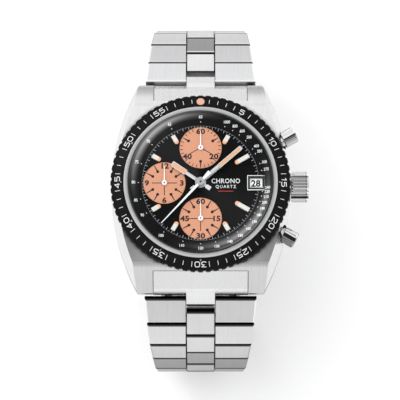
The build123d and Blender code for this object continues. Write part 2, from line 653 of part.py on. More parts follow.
def inner_blade():
    hinge_y, hinge_z = BLADE_HINGE
    z0, z1 = hinge_z - 0.35, hinge_z + 0.45
    blade = block(-6.2, 6.2, -14.2, hinge_y - 0.9, z0, z1)
    blade = blade + block(-3.0, 3.0, LAST_PIN_Y + 1.1, -14.0, z0, z1)    # tongue
    blade += block(-3.9, 3.9, hinge_y - 1.0, hinge_y, z0, z1) + rod(0.75, -3.9, 3.9, *BLADE_HINGE)
    blade -= cross_hole(0.45, *BLADE_HINGE)
    return blade


def clasp_catch():
    catch = block(-8.12, 8.12, -16.95, CATCH_HINGE[0], COVER_BOTTOM, COVER_BOTTOM + 0.4)
    catch = catch + rod(0.41, -8.12, 8.12, *CATCH_HINGE) + rod(0.2, -8.7, 8.7, *CATCH_HINGE)
    catch -= tongue_room(COVER_BOTTOM + 3)
    return catch


save("clasp_cover", clasp_cover(), rod(0.3, -8.8, 8.8, *COVER_HINGE),
     rod(PIN_R, -8.8, 8.8, COVER_Y, CLASP_Z))
save("clasp_middle_blade", middle_blade(), rod(0.4, -6.4, 6.4, *BLADE_HINGE))
save("clasp_inner_blade", inner_blade())
save("clasp_catch", clasp_catch())
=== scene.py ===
# A steel quartz chronograph wristwatch on its bracelet, lying on a pale floor in a light tent.
# The dial faces +Z, 12 o'clock is at +Y and 3 o'clock, with the crown, at +X; the centre of
# the dial is on the Z axis. Scene units are metres; printed and applied details are laid out
# in millimetres. Dial angles are in degrees, clockwise from 12 o'clock.
import math

import bmesh
import bpy
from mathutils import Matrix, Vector


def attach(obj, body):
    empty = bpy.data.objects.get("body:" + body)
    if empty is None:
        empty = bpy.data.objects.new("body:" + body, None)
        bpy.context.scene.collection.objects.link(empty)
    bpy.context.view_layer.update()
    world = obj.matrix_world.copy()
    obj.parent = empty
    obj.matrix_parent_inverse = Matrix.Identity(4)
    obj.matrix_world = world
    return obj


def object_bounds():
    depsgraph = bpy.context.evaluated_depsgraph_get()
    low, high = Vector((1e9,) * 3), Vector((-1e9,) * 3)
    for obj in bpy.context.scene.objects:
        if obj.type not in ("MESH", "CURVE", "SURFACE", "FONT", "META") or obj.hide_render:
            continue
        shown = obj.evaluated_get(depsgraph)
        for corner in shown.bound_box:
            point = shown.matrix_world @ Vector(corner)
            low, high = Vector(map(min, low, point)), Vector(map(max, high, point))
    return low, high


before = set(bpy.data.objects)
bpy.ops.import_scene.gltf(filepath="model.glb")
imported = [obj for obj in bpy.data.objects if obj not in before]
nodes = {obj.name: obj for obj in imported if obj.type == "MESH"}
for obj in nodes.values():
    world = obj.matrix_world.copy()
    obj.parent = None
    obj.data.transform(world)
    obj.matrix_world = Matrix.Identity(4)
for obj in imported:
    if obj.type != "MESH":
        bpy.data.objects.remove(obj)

MM = 0.001
PER_METRE = 1000.0    # millimetres in a metre
scene = bpy.context.scene
start_low, start_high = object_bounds()


# ------------------------------------------------------------------ shader building
def operator(operation, swap=False):
    """A Value method that adds one two-input Math node."""
    def method(self, other):
        first, second = (other, self) if swap else (self, other)
        return self.shader.math(operation, first, second)
    return method


class Value:
    """Output socket of a node; arithmetic and comparison on it add Math nodes."""
    __add__ = operator("ADD")
    __radd__ = operator("ADD", swap=True)
    __sub__ = operator("SUBTRACT")
    __rsub__ = operator("SUBTRACT", swap=True)
    __mul__ = operator("MULTIPLY")
    __rmul__ = operator("MULTIPLY", swap=True)
    __truediv__ = operator("DIVIDE")
    __pow__ = operator("POWER")
    __lt__ = operator("LESS_THAN")
    __gt__ = operator("GREATER_THAN")

    def __init__(self, shader, socket):
        self.shader = shader
        self.socket = socket

    def __abs__(self):
        return self.shader.math("ABSOLUTE", self)

    def output(self, key):
        """Another output of the same node."""
        return Value(self.shader, self.socket.node.outputs[key])


class Shader:
    """Builds the node tree of one material or world."""

    def __init__(self, owner, target="Material"):
        owner.use_nodes = True
        self.owner = owner
        self.tree = owner.node_tree
        self.tree.nodes.clear()
        self.end = self.tree.nodes.new("ShaderNodeOutput" + target)

    def put(self, socket, value):
        """Links a Value or sets a plain one; None leaves the socket as it is."""
        if isinstance(value, Value):
            self.tree.links.new(value.socket, socket)
        elif value is not None:
            if isinstance(value, (tuple, list)) and len(value) == 3 and socket.type == "RGBA":
                value = (*value, 1.0)
            socket.default_value = value

    def add(self, kind, inputs=(), output=0, **properties):
        node = self.tree.nodes.new("ShaderNode" + kind)
        for key, value in properties.items():
            setattr(node, key, value)
        for key, value in dict(inputs).items():
            self.put(node.inputs[key], value)
        return Value(self, node.outputs[output])

    def finish(self, surface):
        self.put(self.end.inputs["Surface"], surface)
        return self.owner

    def math(self, operation, first, second=None, clamp=False):
        return self.add("Math", {0: first, 1: second}, operation=operation, use_clamp=clamp)

    def maximum(self, first, second):
        return self.math("MAXIMUM", first, second)

    def dot(self, first, second):
        return self.add("VectorMath", {0: first, 1: second}, "Value", operation="DOT_PRODUCT")

    def coord(self, which="Object"):
        return self.add("TexCoord", output=which)

    def xyz(self, vector):
        split = self.add("SeparateXYZ", {0: vector})
        return [split.output(i) for i in range(3)]

    def scaled(self, vector, scale, shift=(0, 0, 0)):
        """Vector times a number or a triple, plus a shift."""
        if isinstance(scale, (int, float)):
            scale = (scale,) * 3
        return self.add("Mapping", {0: vector, "Scale": scale, "Location": shift})

    def radial(self, x0=0.0, y0=0.0):
        """Distance from a vertical axis, position and its parts, all in millimetres."""
        place = self.scaled(self.coord(), PER_METRE, (-x0, -y0, 0))
        parts = self.xyz(place)
        square = parts[0] * parts[0] + parts[1] * parts[1]
        return self.math("SQRT", square), place, parts

    def noise(self, scale, detail=3.0, rough=0.55, at=None, shift=(0, 0, 0)):
        """Noise over object coordinates, with its scale in cycles per metre."""
        vector = self.scaled(at or self.coord(), scale, shift)
        return self.add("TexNoise", {"Vector": vector, "Scale": 1.0, "Detail": detail,
                                     "Roughness": rough}, "Fac")

    def ring_noise(self, radius, scale, detail):
        """Noise that varies with the radius only: circular brushing."""
        return self.add("TexNoise", {"W": radius * scale, "Detail": detail}, "Fac",
                        noise_dimensions="1D")

    def streaks(self, at, fine, broad, rough=0.6, fine_shift=(0, 0, 0), broad_shift=(0, 0, 0)):
        """Brushed grain: fine scratches over broader bands."""
        fine_grain = self.noise(fine, detail=4.0, rough=rough, at=at, shift=fine_shift)
        broad_grain = self.noise(broad, at=at, shift=broad_shift)
        return fine_grain * 0.65 + broad_grain * 0.35

    def vary(self, value, span, low):
        return value * span + low

    def ramp(self, factor, stops, interpolation="LINEAR"):
        """Colour ramp; stops are (position, grey level)."""
        result = self.add("ValToRGB", {0: factor})
        color_ramp = result.socket.node.color_ramp
        color_ramp.interpolation = interpolation
        while len(color_ramp.elements) < len(stops):
            color_ramp.elements.new(0.5)
        for element, (position, grey) in zip(color_ramp.elements, stops):
            element.position = position
            element.color = (grey, grey, grey, 1)
        return result

    def mix(self, factor, first, second, blend="MIX"):
        """Colour mix."""
        return self.add("Mix", {"Factor": factor, 6: first, 7: second}, 2,
                        data_type="RGBA", blend_type=blend)

    def lerp(self, factor, first, second):
        """Number mix."""
        return self.add("Mix", {0: factor, 2: first, 3: second}, data_type="FLOAT")

    def mix_shader(self, factor, first, second):
        return self.add("MixShader", {0: factor, 1: first, 2: second})

    def grey(self, level, tint=None):
        """Colour from a level, with an optional factor for each channel."""
        channels = [level * factor for factor in tint] if tint else [level] * 3
        return self.add("CombineColor", dict(enumerate(channels)))

    def map_range(self, value, low, high, kind="LINEAR"):
        return self.add("MapRange", {"Value": value, "From Min": low, "From Max": high},
                        "Result", interpolation_type=kind)

    def step(self, value, edge, soft):
        """0 below edge - soft, 1 above edge + soft."""
        return self.map_range(value, edge - soft, edge + soft, "SMOOTHSTEP")

    def band(self, value, low, high, soft, high_soft=None):
        """1 between low and high, 0 outside."""
        return self.step(value, low, soft) * (1.0 - self.step(value, high, high_soft or soft))

    def stripe(self, value, centre, half, soft=0.05):
        return self.band(value, centre - half, centre + half, soft)

    def bump(self, height, strength, distance=0.00001, normal=None):
        return self.add("Bump", {"Strength": strength, "Distance": distance,
                                 "Height": height, "Normal": normal})

    def round_edges(self, radius=0.00006):
        return self.add("Bevel", {"Radius": radius}, samples=4)

    def crevice(self, colour, reach, power, floor):
        """Paints shade over a colour, down to the floor level, in gaps and corners, from ambient
        occlusion.

        Faces that look down at the very bottom of the watch are left alone."""
        bottom_z, facing_down = -0.0400, -0.5
        occlusion = self.add("AmbientOcclusion", {"Distance": reach}, "AO", samples=8)
        openness = occlusion ** power
        geometry = self.add("NewGeometry")
        foot = ((self.xyz(geometry.output("Position"))[2] < bottom_z)
                * (self.xyz(geometry.output("Normal"))[2] < facing_down))
        return self.mix(self.maximum(openness, foot), (floor, floor, floor), colour)

    def bsdf(self, colour, rough, metal=0.0, spec=0.5, normal=None, aniso=None,
             emission=None, glow=None):
        return self.add("BsdfPrincipled", {
            "Base Color": colour, "Roughness": rough, "Metallic": metal,
            "Specular IOR Level": spec, "Normal": normal, "Anisotropic": aniso,
            "Emission Color": emission, "Emission Strength": glow})


def material(name):
    return Shader(bpy.data.materials.new(name))


# ------------------------------------------------------------------ bracelet steel
# Tilt of each row of links in degrees, from the case down, on the 12 and 6 o'clock sides.
ROWS_12 = [32.1, 36.1, 51.7, 69.7, 93.76, 117.8, 125.2, 135.03, 155.1]
ROWS_6 = [37.1, 56.5, 71.8, 77.7, 91.91, 115.7, 133.44, 154.0]
LAST_TILT = 180.0            # direction that the last centre link turns towards
FIRST_PIN = (23.75, 1.75)    # y and z of the pin at the case, mm
OUTER_PITCH = 3.5            # pin to pin along an outer link, mm
CENTRE_PITCH = 2.6           # from one row to the next along a centre link, mm


def centre_tilt(rows, row):
    """Tilt of a centre link: midway between its own row and the next."""
    following = rows[row + 1] if row + 1 < len(rows) else LAST_TILT
    return (rows[row] + following) / 2


def pins(rows):
    """(y, z) of the first pin of every row and of its centre link, mm, 12 o'clock side."""
    def along(start, tilt, length):
        return (start[0] + length * math.cos(math.radians(tilt)),
                start[1] - length * math.sin(math.radians(tilt)))

    outer_pin, found = FIRST_PIN, []
    for row, tilt in enumerate(rows):
        centre_pin = along(outer_pin, tilt, OUTER_PITCH)
        found.append((outer_pin, centre_pin))
        outer_pin = along(centre_pin, centre_tilt(rows, row), CENTRE_PITCH)
    return found


def link_steel(name, side, row, outer_reflection, centre_reflection):
    """Lengthwise brushing on top, with a painted reflection tone for each row, a painted highlight
    on the front bevel at 12 o'clock and painted shade on the end faces inside the gaps.

    side is 1 at 12 o'clock and -1 at 6 o'clock."""
    mat = material(name)
    rows = ROWS_12 if side > 0 else ROWS_6
    tilts = [math.radians(tilt) for tilt in (rows[row], centre_tilt(rows, row))]
    # outward and lengthwise directions, outer links first, then the centre link
    outward = [(0, side * math.sin(tilt), math.cos(tilt)) for tilt in tilts]
    lengthwise = [(0, side * math.cos(tilt), -math.sin(tilt)) for tilt in tilts]

    place = mat.coord()
    across = abs(mat.xyz(place)[0])
    centre = across < 0.00304    # half width of the centre link, m
    normal = mat.coord("Normal")
    facing = mat.lerp(centre, *[mat.dot(normal, axis) for axis in outward])
    sideways = abs(mat.xyz(normal)[0])

    # the grain shifts from row to row
    streak = mat.streaks(place, fine=(9500, 260, 260), broad=(1500, 80, 80), rough=0.62,
                         fine_shift=(row * 0.7, row * 1.3, 0),
                         broad_shift=(row * 0.4, row * 2.3, 0))
    # painted reflection: each row's steel level, set for the light it reflects, with grain
    level = mat.lerp(centre, outer_reflection, centre_reflection) * (0.84 + streak * 0.32)

    # bevels: painted shade on the lower end; painted highlight on the upper end near the top face
    # at 12 o'clock, painted shade there at 6 o'clock
    bevel = mat.band(facing, low=0.5, high=0.9, soft=0.1, high_soft=0.04) * (sideways < 0.3)
    tail = mat.lerp(centre, *[mat.dot(normal, axis) for axis in lengthwise]) > 0.0
    place_mm = mat.scaled(place, PER_METRE)
    heights = []
    for (pin_y, pin_z), axis in zip(pins(rows)[row], outward):
        from_pin = mat.add("VectorMath", {0: place_mm, 1: (0, side * pin_y, pin_z)},
                           operation="SUBTRACT")
        heights.append(mat.dot(from_pin, axis))
    first = side > 0 and row == 0
    lift_outer, lift_centre = (0.30, 0.04) if first else (0.15, 0.15)
    height = mat.lerp(centre, *heights) + mat.lerp(centre, lift_outer, lift_centre)
    upper = mat.step(height, edge=1.4, soft=0.02)
    nose_low, nose_high = (0.04, 1.0) if side > 0 else (0.02, 0.16)
    nose = mat.lerp(upper, nose_low, nose_high)
    tail_shade = 0.03
    level = mat.lerp(bevel, level, mat.lerp(tail, nose, tail_shade))

    # painted light and shade on the end faces, in the gaps between rows: light on the first row at
    # 12 o'clock, shade on the others
    gap = (abs(facing) < 0.5) * (sideways < 0.5)
    gap_light_and_shade = (0.9 if row == 0 else 0.4) if side > 0 else 0.03
    level = mat.lerp(gap, level, gap_light_and_shade)
    # painted shade on the side faces between the centre and outer links
    inner = (sideways > 0.5) * (across < 0.0033)
    inner_shade = 0.06
    level = mat.lerp(inner, level, inner_shade)

    plain = mat.grey(level, tint=(1.0, 1.0, 1.008))
    # painted shade in gaps and corners
    colour = mat.crevice(plain, reach=0.0009, power=1.8, floor=0.012)
    # on the first row at 12 o'clock the end faces keep their painted light, free of the painted
    # crevice shade
    if first:
        colour = mat.mix(gap, colour, plain)
    relief = mat.bump(streak, strength=0.24, normal=mat.round_edges())
    return mat.finish(mat.bsdf(colour, mat.vary(streak, span=0.16, low=0.22), metal=1.0,
                               normal=relief, aniso=0.35))


def end_link_steel():
    """Bright brushed top; painted shade on the sides, undersides and the outer seams."""
    mat = material("end_link_steel")
    place = mat.coord()
    x, y, _ = mat.xyz(place)
    normal = mat.xyz(mat.coord("Normal"))
    sideways = abs(normal[0])
    streak = mat.streaks(place, fine=(9500, 260, 260), broad=(1300, 70, 70), rough=0.62)
    level = 0.92 * (0.92 + streak * 0.15)
    side = sideways > 0.6
    seam = mat.step(abs(x) * PER_METRE, edge=9.90, soft=0.03)
    # painted shade levels at (6 o'clock, 12 o'clock)
    seam_shades, under_shades, side_shade = (0.16, 0.30), (0.04, 0.35), 0.05
    level = mat.lerp(seam, level, mat.lerp(y > 0.0, *seam_shades))
    level = mat.lerp(side, level, side_shade)
    under = (normal[2] < 0.45) * (sideways < 0.6)
    level = mat.lerp(under, level, mat.lerp(y > 0.0, *under_shades))
    return mat.finish(mat.bsdf(mat.grey(level), mat.vary(streak, span=0.16, low=0.2), metal=1.0,
                               normal=mat.bump(streak, strength=0.06), aniso=0.35))


# ------------------------------------------------------------------ case steel
def brushed(name, tint, rough, lines, contrast):
    """Brushed steel; lines is the scale of the grain along x, y and z."""
    mat = material(name)
    broad = (lines[0] * 0.16, lines[1] * 0.3, lines[2] * 0.3)
    streak = mat.streaks(mat.coord(), fine=lines, broad=broad)
    level = mat.ramp(streak, [(0.25, tint * (1 - contrast)), (0.75, tint * (1 + contrast * 0.6))])
    cool_white = (1.0, 1.0, 1.012)
    # painted shade in gaps and corners
    colour = mat.crevice(mat.mix(1.0, level, cool_white, "MULTIPLY"),
                         reach=0.0011, power=1.8, floor=0.015)
    relief = mat.bump(streak, strength=0.22, normal=mat.round_edges())
    return mat.finish(mat.bsdf(colour, mat.vary(streak, span=0.16, low=rough - 0.08), metal=1.0,
                               normal=relief, aniso=0.35))


def tent_polish(name, lines):
    """Polished steel with painted reflections: thin black edges of the light tent, painted by world
    position.

    lines(mat, place) gives the painted reflection level from the parts of the world position, in
    mm."""
    mat = material(name)
    tint, rough = 0.9, 0.09
    geometry = mat.add("NewGeometry")
    place = mat.xyz(mat.scaled(geometry.output("Position"), PER_METRE))
    fine = mat.noise(3000, detail=2.0)
    # painted shade in gaps and corners, over the painted reflection lines
    colour = mat.crevice(mat.grey(lines(mat, place) * tint), reach=0.00035, power=2.2, floor=0.02)
    relief = mat.bump(fine, strength=0.03, distance=0.000004, normal=mat.round_edges(0.00005))
    return mat.finish(mat.bsdf(colour, mat.vary(fine, span=0.04, low=rough - 0.02), metal=1.0,
                               normal=relief))


PAINTED_BLACK_LINE = 0.02    # level of the painted reflection of black edges


def crown_lines(mat, place):
    """Painted reflection lines across y: black tent edges, grey lines and a dimmer middle band."""
    y = place[1]
    dark = mat.maximum(mat.stripe(y, centre=1.70, half=0.17), mat.stripe(y, centre=-2.55, half=0.2))
    middle = mat.stripe(y, centre=0.3, half=1.15, soft=0.2)
    bright, middle_level, grey_level = 0.98, 0.62, 0.3
    level = mat.lerp(middle, bright, middle_level)
    grey = mat.maximum(mat.stripe(y, centre=-1.45, half=0.12),
                       mat.stripe(y, centre=-2.1, half=0.12))
    return mat.lerp(dark, mat.lerp(grey, level, grey_level), PAINTED_BLACK_LINE)


def pusher_lines(side):
    """Painted reflection lines along a pusher, dark lines and a darker lower part; the pusher
    points 30 degrees from x; side is 1 for +y, -1 for -y.
    """
    cos_lean = math.cos(math.radians(30))
    sin_lean = math.sin(math.radians(30)) * side

    def lines(mat, place):
        offset = place[0] * -sin_lean + place[1] * cos_lean
        if side > 0:
            dark = mat.stripe(offset, centre=-0.28, half=0.17)
            low = 1.0 - mat.step(offset, edge=-0.45, soft=0.05)
            low_level = 0.55
        else:
            dark = mat.stripe(offset, centre=-0.25, half=0.42, soft=0.08)
            low = 1.0 - mat.step(offset, edge=-0.62, soft=0.1)
            low_level = 0.3
            dark = mat.maximum(dark, mat.stripe(offset, centre=1.35, half=0.07, soft=0.03))
        return mat.lerp(dark, mat.lerp(low, 1.0, low_level), PAINTED_BLACK_LINE)
    return lines


def polished(name, tint, rough, smudge):
    mat = material(name)
    smear = mat.noise(420, detail=4.0)
    fine = mat.noise(3000, detail=2.0)
    # painted shade in gaps and corners
    colour = mat.crevice(mat.ramp(smear, [(0.3, tint * 0.97), (0.7, tint)]),
                         reach=0.0005, power=1.5, floor=0.03)
    relief = mat.bump(fine, strength=0.03, distance=0.000004, normal=mat.round_edges(0.00005))
    return mat.finish(mat.bsdf(colour, mat.vary(smear, span=smudge, low=rough - smudge * 0.5),
                               metal=1.0, normal=relief))


# Painted reflection on the case top: its level from 6 o'clock (0) to 12 o'clock (1), and a painted
# light and shade factor on it with |x|.
CASE_TOP_REFLECTION_STOPS = [(0.0, 0.80), (0.112, 0.84), (0.142, 0.27), (0.283, 0.21),
                  (0.5, 0.5), (0.674, 0.86), (0.87, 0.93), (0.895, 0.99),
                  (0.925, 0.90), (0.95, 0.66), (0.978, 0.50), (0.986, 0.72)]
CASE_ACROSS_SHADE_STOPS = [(0.0, 1.6), (0.45, 1.15), (1.0, 0.75)]


def case_material():
    """Brushed lengthwise on top, finer satin on the long leaning flanks; painted reflection along
    the top, painted shade on the lug-tip cheeks and in crevices.
    """
    mat = material("case_steel_mix")
    place = mat.coord()
    normal = mat.xyz(mat.coord("Normal"))
    side = mat.step(abs(normal[0]), edge=0.22, soft=0.04)
    top = mat.step(normal[2], edge=0.55, soft=0.06)
    streak = mat.streaks(place, fine=(9500, 240, 240), broad=(1500, 80, 80))
    satin = mat.noise((2600, 900, 5200), detail=4.0, rough=0.6, at=place)

    # painted reflection along the case top, and painted light and shade across it between y = -16.6
    # and 4 mm
    lengthwise = mat.map_range(mat.xyz(place)[1], low=-0.023, high=0.023)
    lit = mat.ramp(lengthwise, CASE_TOP_REFLECTION_STOPS)
    x, y, _ = mat.xyz(mat.scaled(place, PER_METRE))
    across = abs(x)
    shade = mat.ramp(mat.map_range(across, low=10.0, high=21.0), CASE_ACROSS_SHADE_STOPS)
    lower = (y < 4.0) * mat.step(y, edge=-16.6, soft=0.5)
    lit = mat.mix(lower, lit, mat.mix(1.0, lit, shade, "MULTIPLY"))
    not_top, cheek_shade = (0.72,) * 3, (0.05,) * 3
    level = mat.mix(top, not_top, lit)
    level = mat.mix(1.0, level, mat.ramp(streak, [(0.25, 0.86), (0.75, 1.08)]), "MULTIPLY")
    flank = mat.ramp(satin, [(0.3, 0.64), (0.7, 0.77)])
    base = mat.mix(side, level, flank)
    # painted shade on the cheeks: the faces of the lug tips that look towards the bracelet's middle
    # or edges
    tip = (abs(y) > 18.3) * (across < 10.3)
    cheek = tip * (abs(normal[0]) > 0.6)
    base = mat.mix(cheek, base, cheek_shade)
    # the flanks between the lugs keep most of their own tone: they get a fifth of the painted
    # crevice shade
    wall = side * (abs(y) < 17.5)
    keep = 0.8
    colour = mat.mix(wall * keep, mat.crevice(base, reach=0.0009, power=1.5, floor=0.02), base)
    rough = mat.lerp(side, mat.vary(streak, span=0.16, low=0.22),
                     mat.vary(satin, span=0.1, low=0.2))
    relief = mat.bump(mat.lerp(side, streak, satin), strength=0.2,
                      normal=mat.round_edges(0.00009))
    return mat.finish(mat.bsdf(colour, rough, metal=1.0, normal=relief, aniso=0.3))


def back_material():
    """Case back: circular brushing."""
    mat = material("case_back_circular")
    radius, _, _ = mat.radial()
    rings = mat.ring_noise(radius, scale=22.0, detail=4.0)
    return mat.finish(mat.bsdf(
        mat.ramp(rings, [(0.3, 0.62), (0.7, 0.8)]), mat.vary(rings, span=0.15, low=0.2), metal=1.0,
        normal=mat.bump(rings, strength=0.2, normal=mat.round_edges())))


# ------------------------------------------------------------------ dial, bezel and crystal
def satin_black(name, rough, base, radial=False):
    """Black with an even grain, or with circular brushing when radial."""
    mat = material(name)
    if radial:
        radius, _, _ = mat.radial()
        grain = mat.ring_noise(radius, scale=14.0, detail=3.0)
    else:
        grain = mat.noise(2600)
    return mat.finish(mat.bsdf(
        mat.ramp(grain, [(0.3, base * 0.8), (0.7, base * 1.25)]),
        mat.vary(grain, span=0.1, low=rough - 0.05), spec=0.14,
        normal=mat.bump(grain, strength=0.08, normal=mat.round_edges(0.00005))))


def dial_black():
    mat = material("dial_black_matt")
    grain = mat.noise(9000)
    cloud = mat.noise(160, detail=2.0)
    colour = mat.ramp(grain * 0.5 + cloud * 0.5, [(0.3, 0.0035), (0.7, 0.0065)])
    return mat.finish(mat.bsdf(colour, rough=0.62, spec=0.05,
                               normal=mat.bump(grain, strength=0.15)))


def salmon(name, x0, y0):
    """Sub-dial: salmon with fine concentric rings and a darker rim."""
    mat = material(name)
    radius, place, _ = mat.radial(x0, y0)
    rings = mat.add("TexWave", {"Vector": place, "Scale": 2.2, "Distortion": 0.0, "Detail": 0.0},
                    "Fac", wave_type="RINGS", rings_direction="Z")
    grain = mat.noise(5200)
    deep, pale = (0.62, 0.275, 0.165), (0.82, 0.39, 0.24)
    groove, rim_brown = (0.62, 0.27, 0.15), (0.35, 0.15, 0.08)
    grain_mix, groove_mix, rim_mix = 0.9, 0.22, 0.35
    colour = mat.mix(grain * grain_mix, deep, pale)
    colour = mat.mix(rings * groove_mix, colour, groove)
    rim = mat.step(radius, edge=4.33, soft=0.05)
    colour = mat.mix(rim * rim_mix, colour, rim_brown)
    return mat.finish(mat.bsdf(colour, rough=0.42, metal=0.12, spec=0.35,
                               normal=mat.bump(rings, strength=0.18)))


def print_paint(name, colour, rough=0.5, glow=0.0):
    mat = material(name)
    grain = mat.noise(7000, detail=2.0)
    return mat.finish(mat.bsdf(
        mat.mix(grain, tuple(channel * 0.92 for channel in colour), colour),
        mat.vary(grain, span=0.1, low=rough - 0.05), spec=0.3,
        normal=mat.bump(grain, strength=0.1, distance=0.000004), emission=colour, glow=glow))


def lume(name, colour):
    """Grainy luminous compound; it does not glow in this light."""
    mat = material(name)
    grain = mat.noise(6500, detail=4.0, rough=0.7)
    dark = tuple(channel * 0.86 for channel in colour)
    light = tuple(min(1, channel * 1.06) for channel in colour)
    return mat.finish(mat.bsdf(mat.mix(grain, dark, light), rough=0.55, spec=0.3,
                               normal=mat.bump(grain, strength=0.35), emission=colour, glow=0.0))


def marker_material():
    """Pale batons whose rounded inner end carries the luminous compound."""
    mat = material("marker_paint")
    radius, _, (x, y, _) = mat.radial()
    angle = mat.math("ARCTAN2", x, y)
    near_three = abs(angle * (180 / math.pi) - 90.0) < 35.0
    limit, limit_near_three = 10.33, 9.1    # outer radius of the compound, mm
    tip = radius < mat.lerp(near_three, limit, limit_near_three)
    grain = mat.noise(6000)
    pale = mat.mix(grain, (0.70, 0.66, 0.60), (0.80, 0.77, 0.71))
    warm = mat.mix(grain, (0.80, 0.40, 0.25), (0.92, 0.52, 0.34))
    relief = mat.bump(grain, strength=0.2, distance=0.000008, normal=mat.round_edges(0.00004))
    return mat.finish(mat.bsdf(mat.mix(tip, pale, warm), rough=0.45, spec=0.4, normal=relief))


def date_frame_material():
    """Bright outer border round a black inner band."""
    mat = material("date_frame_paint")
    frame_x, half_x, half_y = 11.705, 1.76, 1.45
    x, y, _ = mat.xyz(mat.scaled(mat.coord(), PER_METRE, (-frame_x, 0, 0)))
    inner = (abs(x) < half_x) * (abs(y) < half_y)
    grain = mat.noise(5000, detail=2.0)
    bright = mat.mix(grain, (0.90,) * 3, (0.97,) * 3)
    black, border_metal, band_metal = (0.012,) * 3, 0.2, 0.0
    return mat.finish(mat.bsdf(mat.mix(inner, bright, black), rough=0.3,
                               metal=mat.lerp(inner, border_metal, band_metal), spec=0.4,
                               normal=mat.round_edges(0.00003)))


# Strength of the painted shoulder reflection from its inner radius (0) to its outer radius (1).
SHOULDER_REFLECTION_STOPS = [(0.0, 0.0), (0.22, 0.14), (0.42, 0.5), (0.62, 1.0),
                  (0.78, 0.35), (0.88, 0.10), (0.94, 0.6), (1.0, 0.2)]


def crystal_material():
    """Coated clear crystal: nearly no veil, and soft bright painted reflections on its raised
    shoulder, as emission that only the camera sees.
    """
    mat = material("crystal_clear")
    radius, _, (x, y, _) = mat.radial()
    geometry = mat.add("NewGeometry")
    head_on = abs(mat.dot(geometry.output("Incoming"), geometry.output("Normal")))
    fresnel = mat.math("SUBTRACT", 1.0, head_on, clamp=True) ** 5.0
    # two broad painted reflections, upper left and lower right
    across = (y - x) / (mat.maximum(radius, 1.0) * math.sqrt(2.0))
    sector = abs(across) ** 5.0
    profile = mat.ramp(mat.map_range(radius, low=12.9, high=15.1), SHOULDER_REFLECTION_STOPS, "B_SPLINE")
    lower_right, upper_left = 0.42, 0.52
    soft = sector * profile * mat.lerp(across > 0.0, lower_right, upper_left)
    streaks = mat.ring_noise(radius, scale=6.0, detail=2.0)
    soft = soft * (0.8 + streaks * 0.4)
    outer = 1.0 - geometry.output("Backfacing")
    camera_ray = mat.add("LightPath", output="Is Camera Ray")
    # painted reflection: emission seen only by camera rays on the outer face
    emission = mat.add("Emission", {"Strength": soft * outer * camera_ray})
    glossy = mat.add("BsdfGlossy", {"Color": (1, 1, 1), "Roughness": 0.05})
    clear = mat.add("BsdfTransparent", {"Color": (0.985, 0.99, 0.995)})
    coating = 0.06    # share of the plain edge reflection that is left
    glass = mat.mix_shader(fresnel * coating * outer, clear, glossy)
    return mat.finish(mat.add("AddShader", {0: glass, 1: emission}))


def grained(name, dark, light, rough, metal, scale):
    mat = material(name)
    grain = mat.noise(scale)
    return mat.finish(mat.bsdf(
        mat.mix(grain, dark, light), mat.vary(grain, span=0.12, low=rough - 0.06), metal,
        normal=mat.bump(grain, strength=0.15, normal=mat.round_edges(0.00005))))


# ------------------------------------------------------------------ materials in use
materials = {
    "case": case_material(),
    "back": back_material(),
    "polish": polished("polished_steel", tint=0.84, rough=0.07, smudge=0.05),
    # the crystal ring's low tint stands in for the darker reflection it shows: painted shade
    "ring": brushed("ring_steel", tint=0.66, rough=0.3, lines=(2600, 2600, 260), contrast=0.12),
    "end_link": end_link_steel(),
    "crown": tent_polish("crown_steel", crown_lines),
    "start_push": tent_polish("start_pusher_steel", pusher_lines(1)),
    "reset_push": tent_polish("reset_pusher_steel", pusher_lines(-1)),
    "clasp": brushed("clasp_steel", tint=0.76, rough=0.32, lines=(9000, 240, 240), contrast=0.10),
    "bezel": satin_black("bezel_black", rough=0.3, base=0.004),
    "insert": satin_black("insert_black", rough=0.4, base=0.003, radial=True),
    "dial": dial_black(),
    "flange": satin_black("flange_black", rough=0.45, base=0.003, radial=True),
    "marker": marker_material(),
    "date_frame": date_frame_material(),
    "crystal": crystal_material(),
    "hand": polished("hand_steel", tint=0.9, rough=0.16, smudge=0.06),
    "boss": polished("boss_steel", tint=0.55, rough=0.2, smudge=0.05),
    "white": print_paint("white_enamel", (0.93, 0.93, 0.92), rough=0.3),
    "print_white": print_paint("white_print", (0.86, 0.86, 0.84)),
    "print_dim": print_paint("dim_print", (0.15, 0.15, 0.16)),
    "print_grey": print_paint("grey_print", (0.42, 0.43, 0.45)),
    "print_dark": print_paint("dark_print", (0.02, 0.011, 0.009)),
    "print_red": print_paint("red_print", (0.45, 0.03, 0.03)),
    "lume": lume("luminous_peach", (0.80, 0.42, 0.22)),
    "pip": lume("pip_peach", (0.70, 0.41, 0.30)),
    # the date disc glows a little: painted light in its shaded window
    "date_white": print_paint("date_disc_white_painted_glow", (0.90, 0.90, 0.88), glow=0.35),
    "date_black": print_paint("date_black", (0.012, 0.012, 0.012)),
}

# key: material name, dark colour, light colour, roughness, metallic, grain scale
GRAINED = {
    "pin_dark": ("pin_dark", (0.03, 0.03, 0.03), (0.06, 0.06, 0.06), 0.3, 0.6, 3000),
    "brass": ("movement_brass", (0.60, 0.47, 0.24), (0.74, 0.60, 0.34), 0.32, 1.0, 4000),
    "plastic": ("holder_plastic", (0.70, 0.70, 0.68), (0.80, 0.80, 0.77), 0.5, 0.0, 1500),
    "rubber": ("seal_rubber", (0.012, 0.012, 0.012), (0.022, 0.022, 0.022), 0.7, 0.0, 3000),
    "board": ("board_green", (0.01, 0.10, 0.05), (0.02, 0.17, 0.08), 0.4, 0.0, 2500),
    "copper": ("coil_copper", (0.50, 0.20, 0.08), (0.68, 0.30, 0.13), 0.35, 0.9, 6000),
    "spring": ("spring_steel", (0.50, 0.51, 0.53), (0.60, 0.61, 0.63), 0.3, 1.0, 4000),
}
for key, values in GRAINED.items():
    materials[key] = grained(*values)

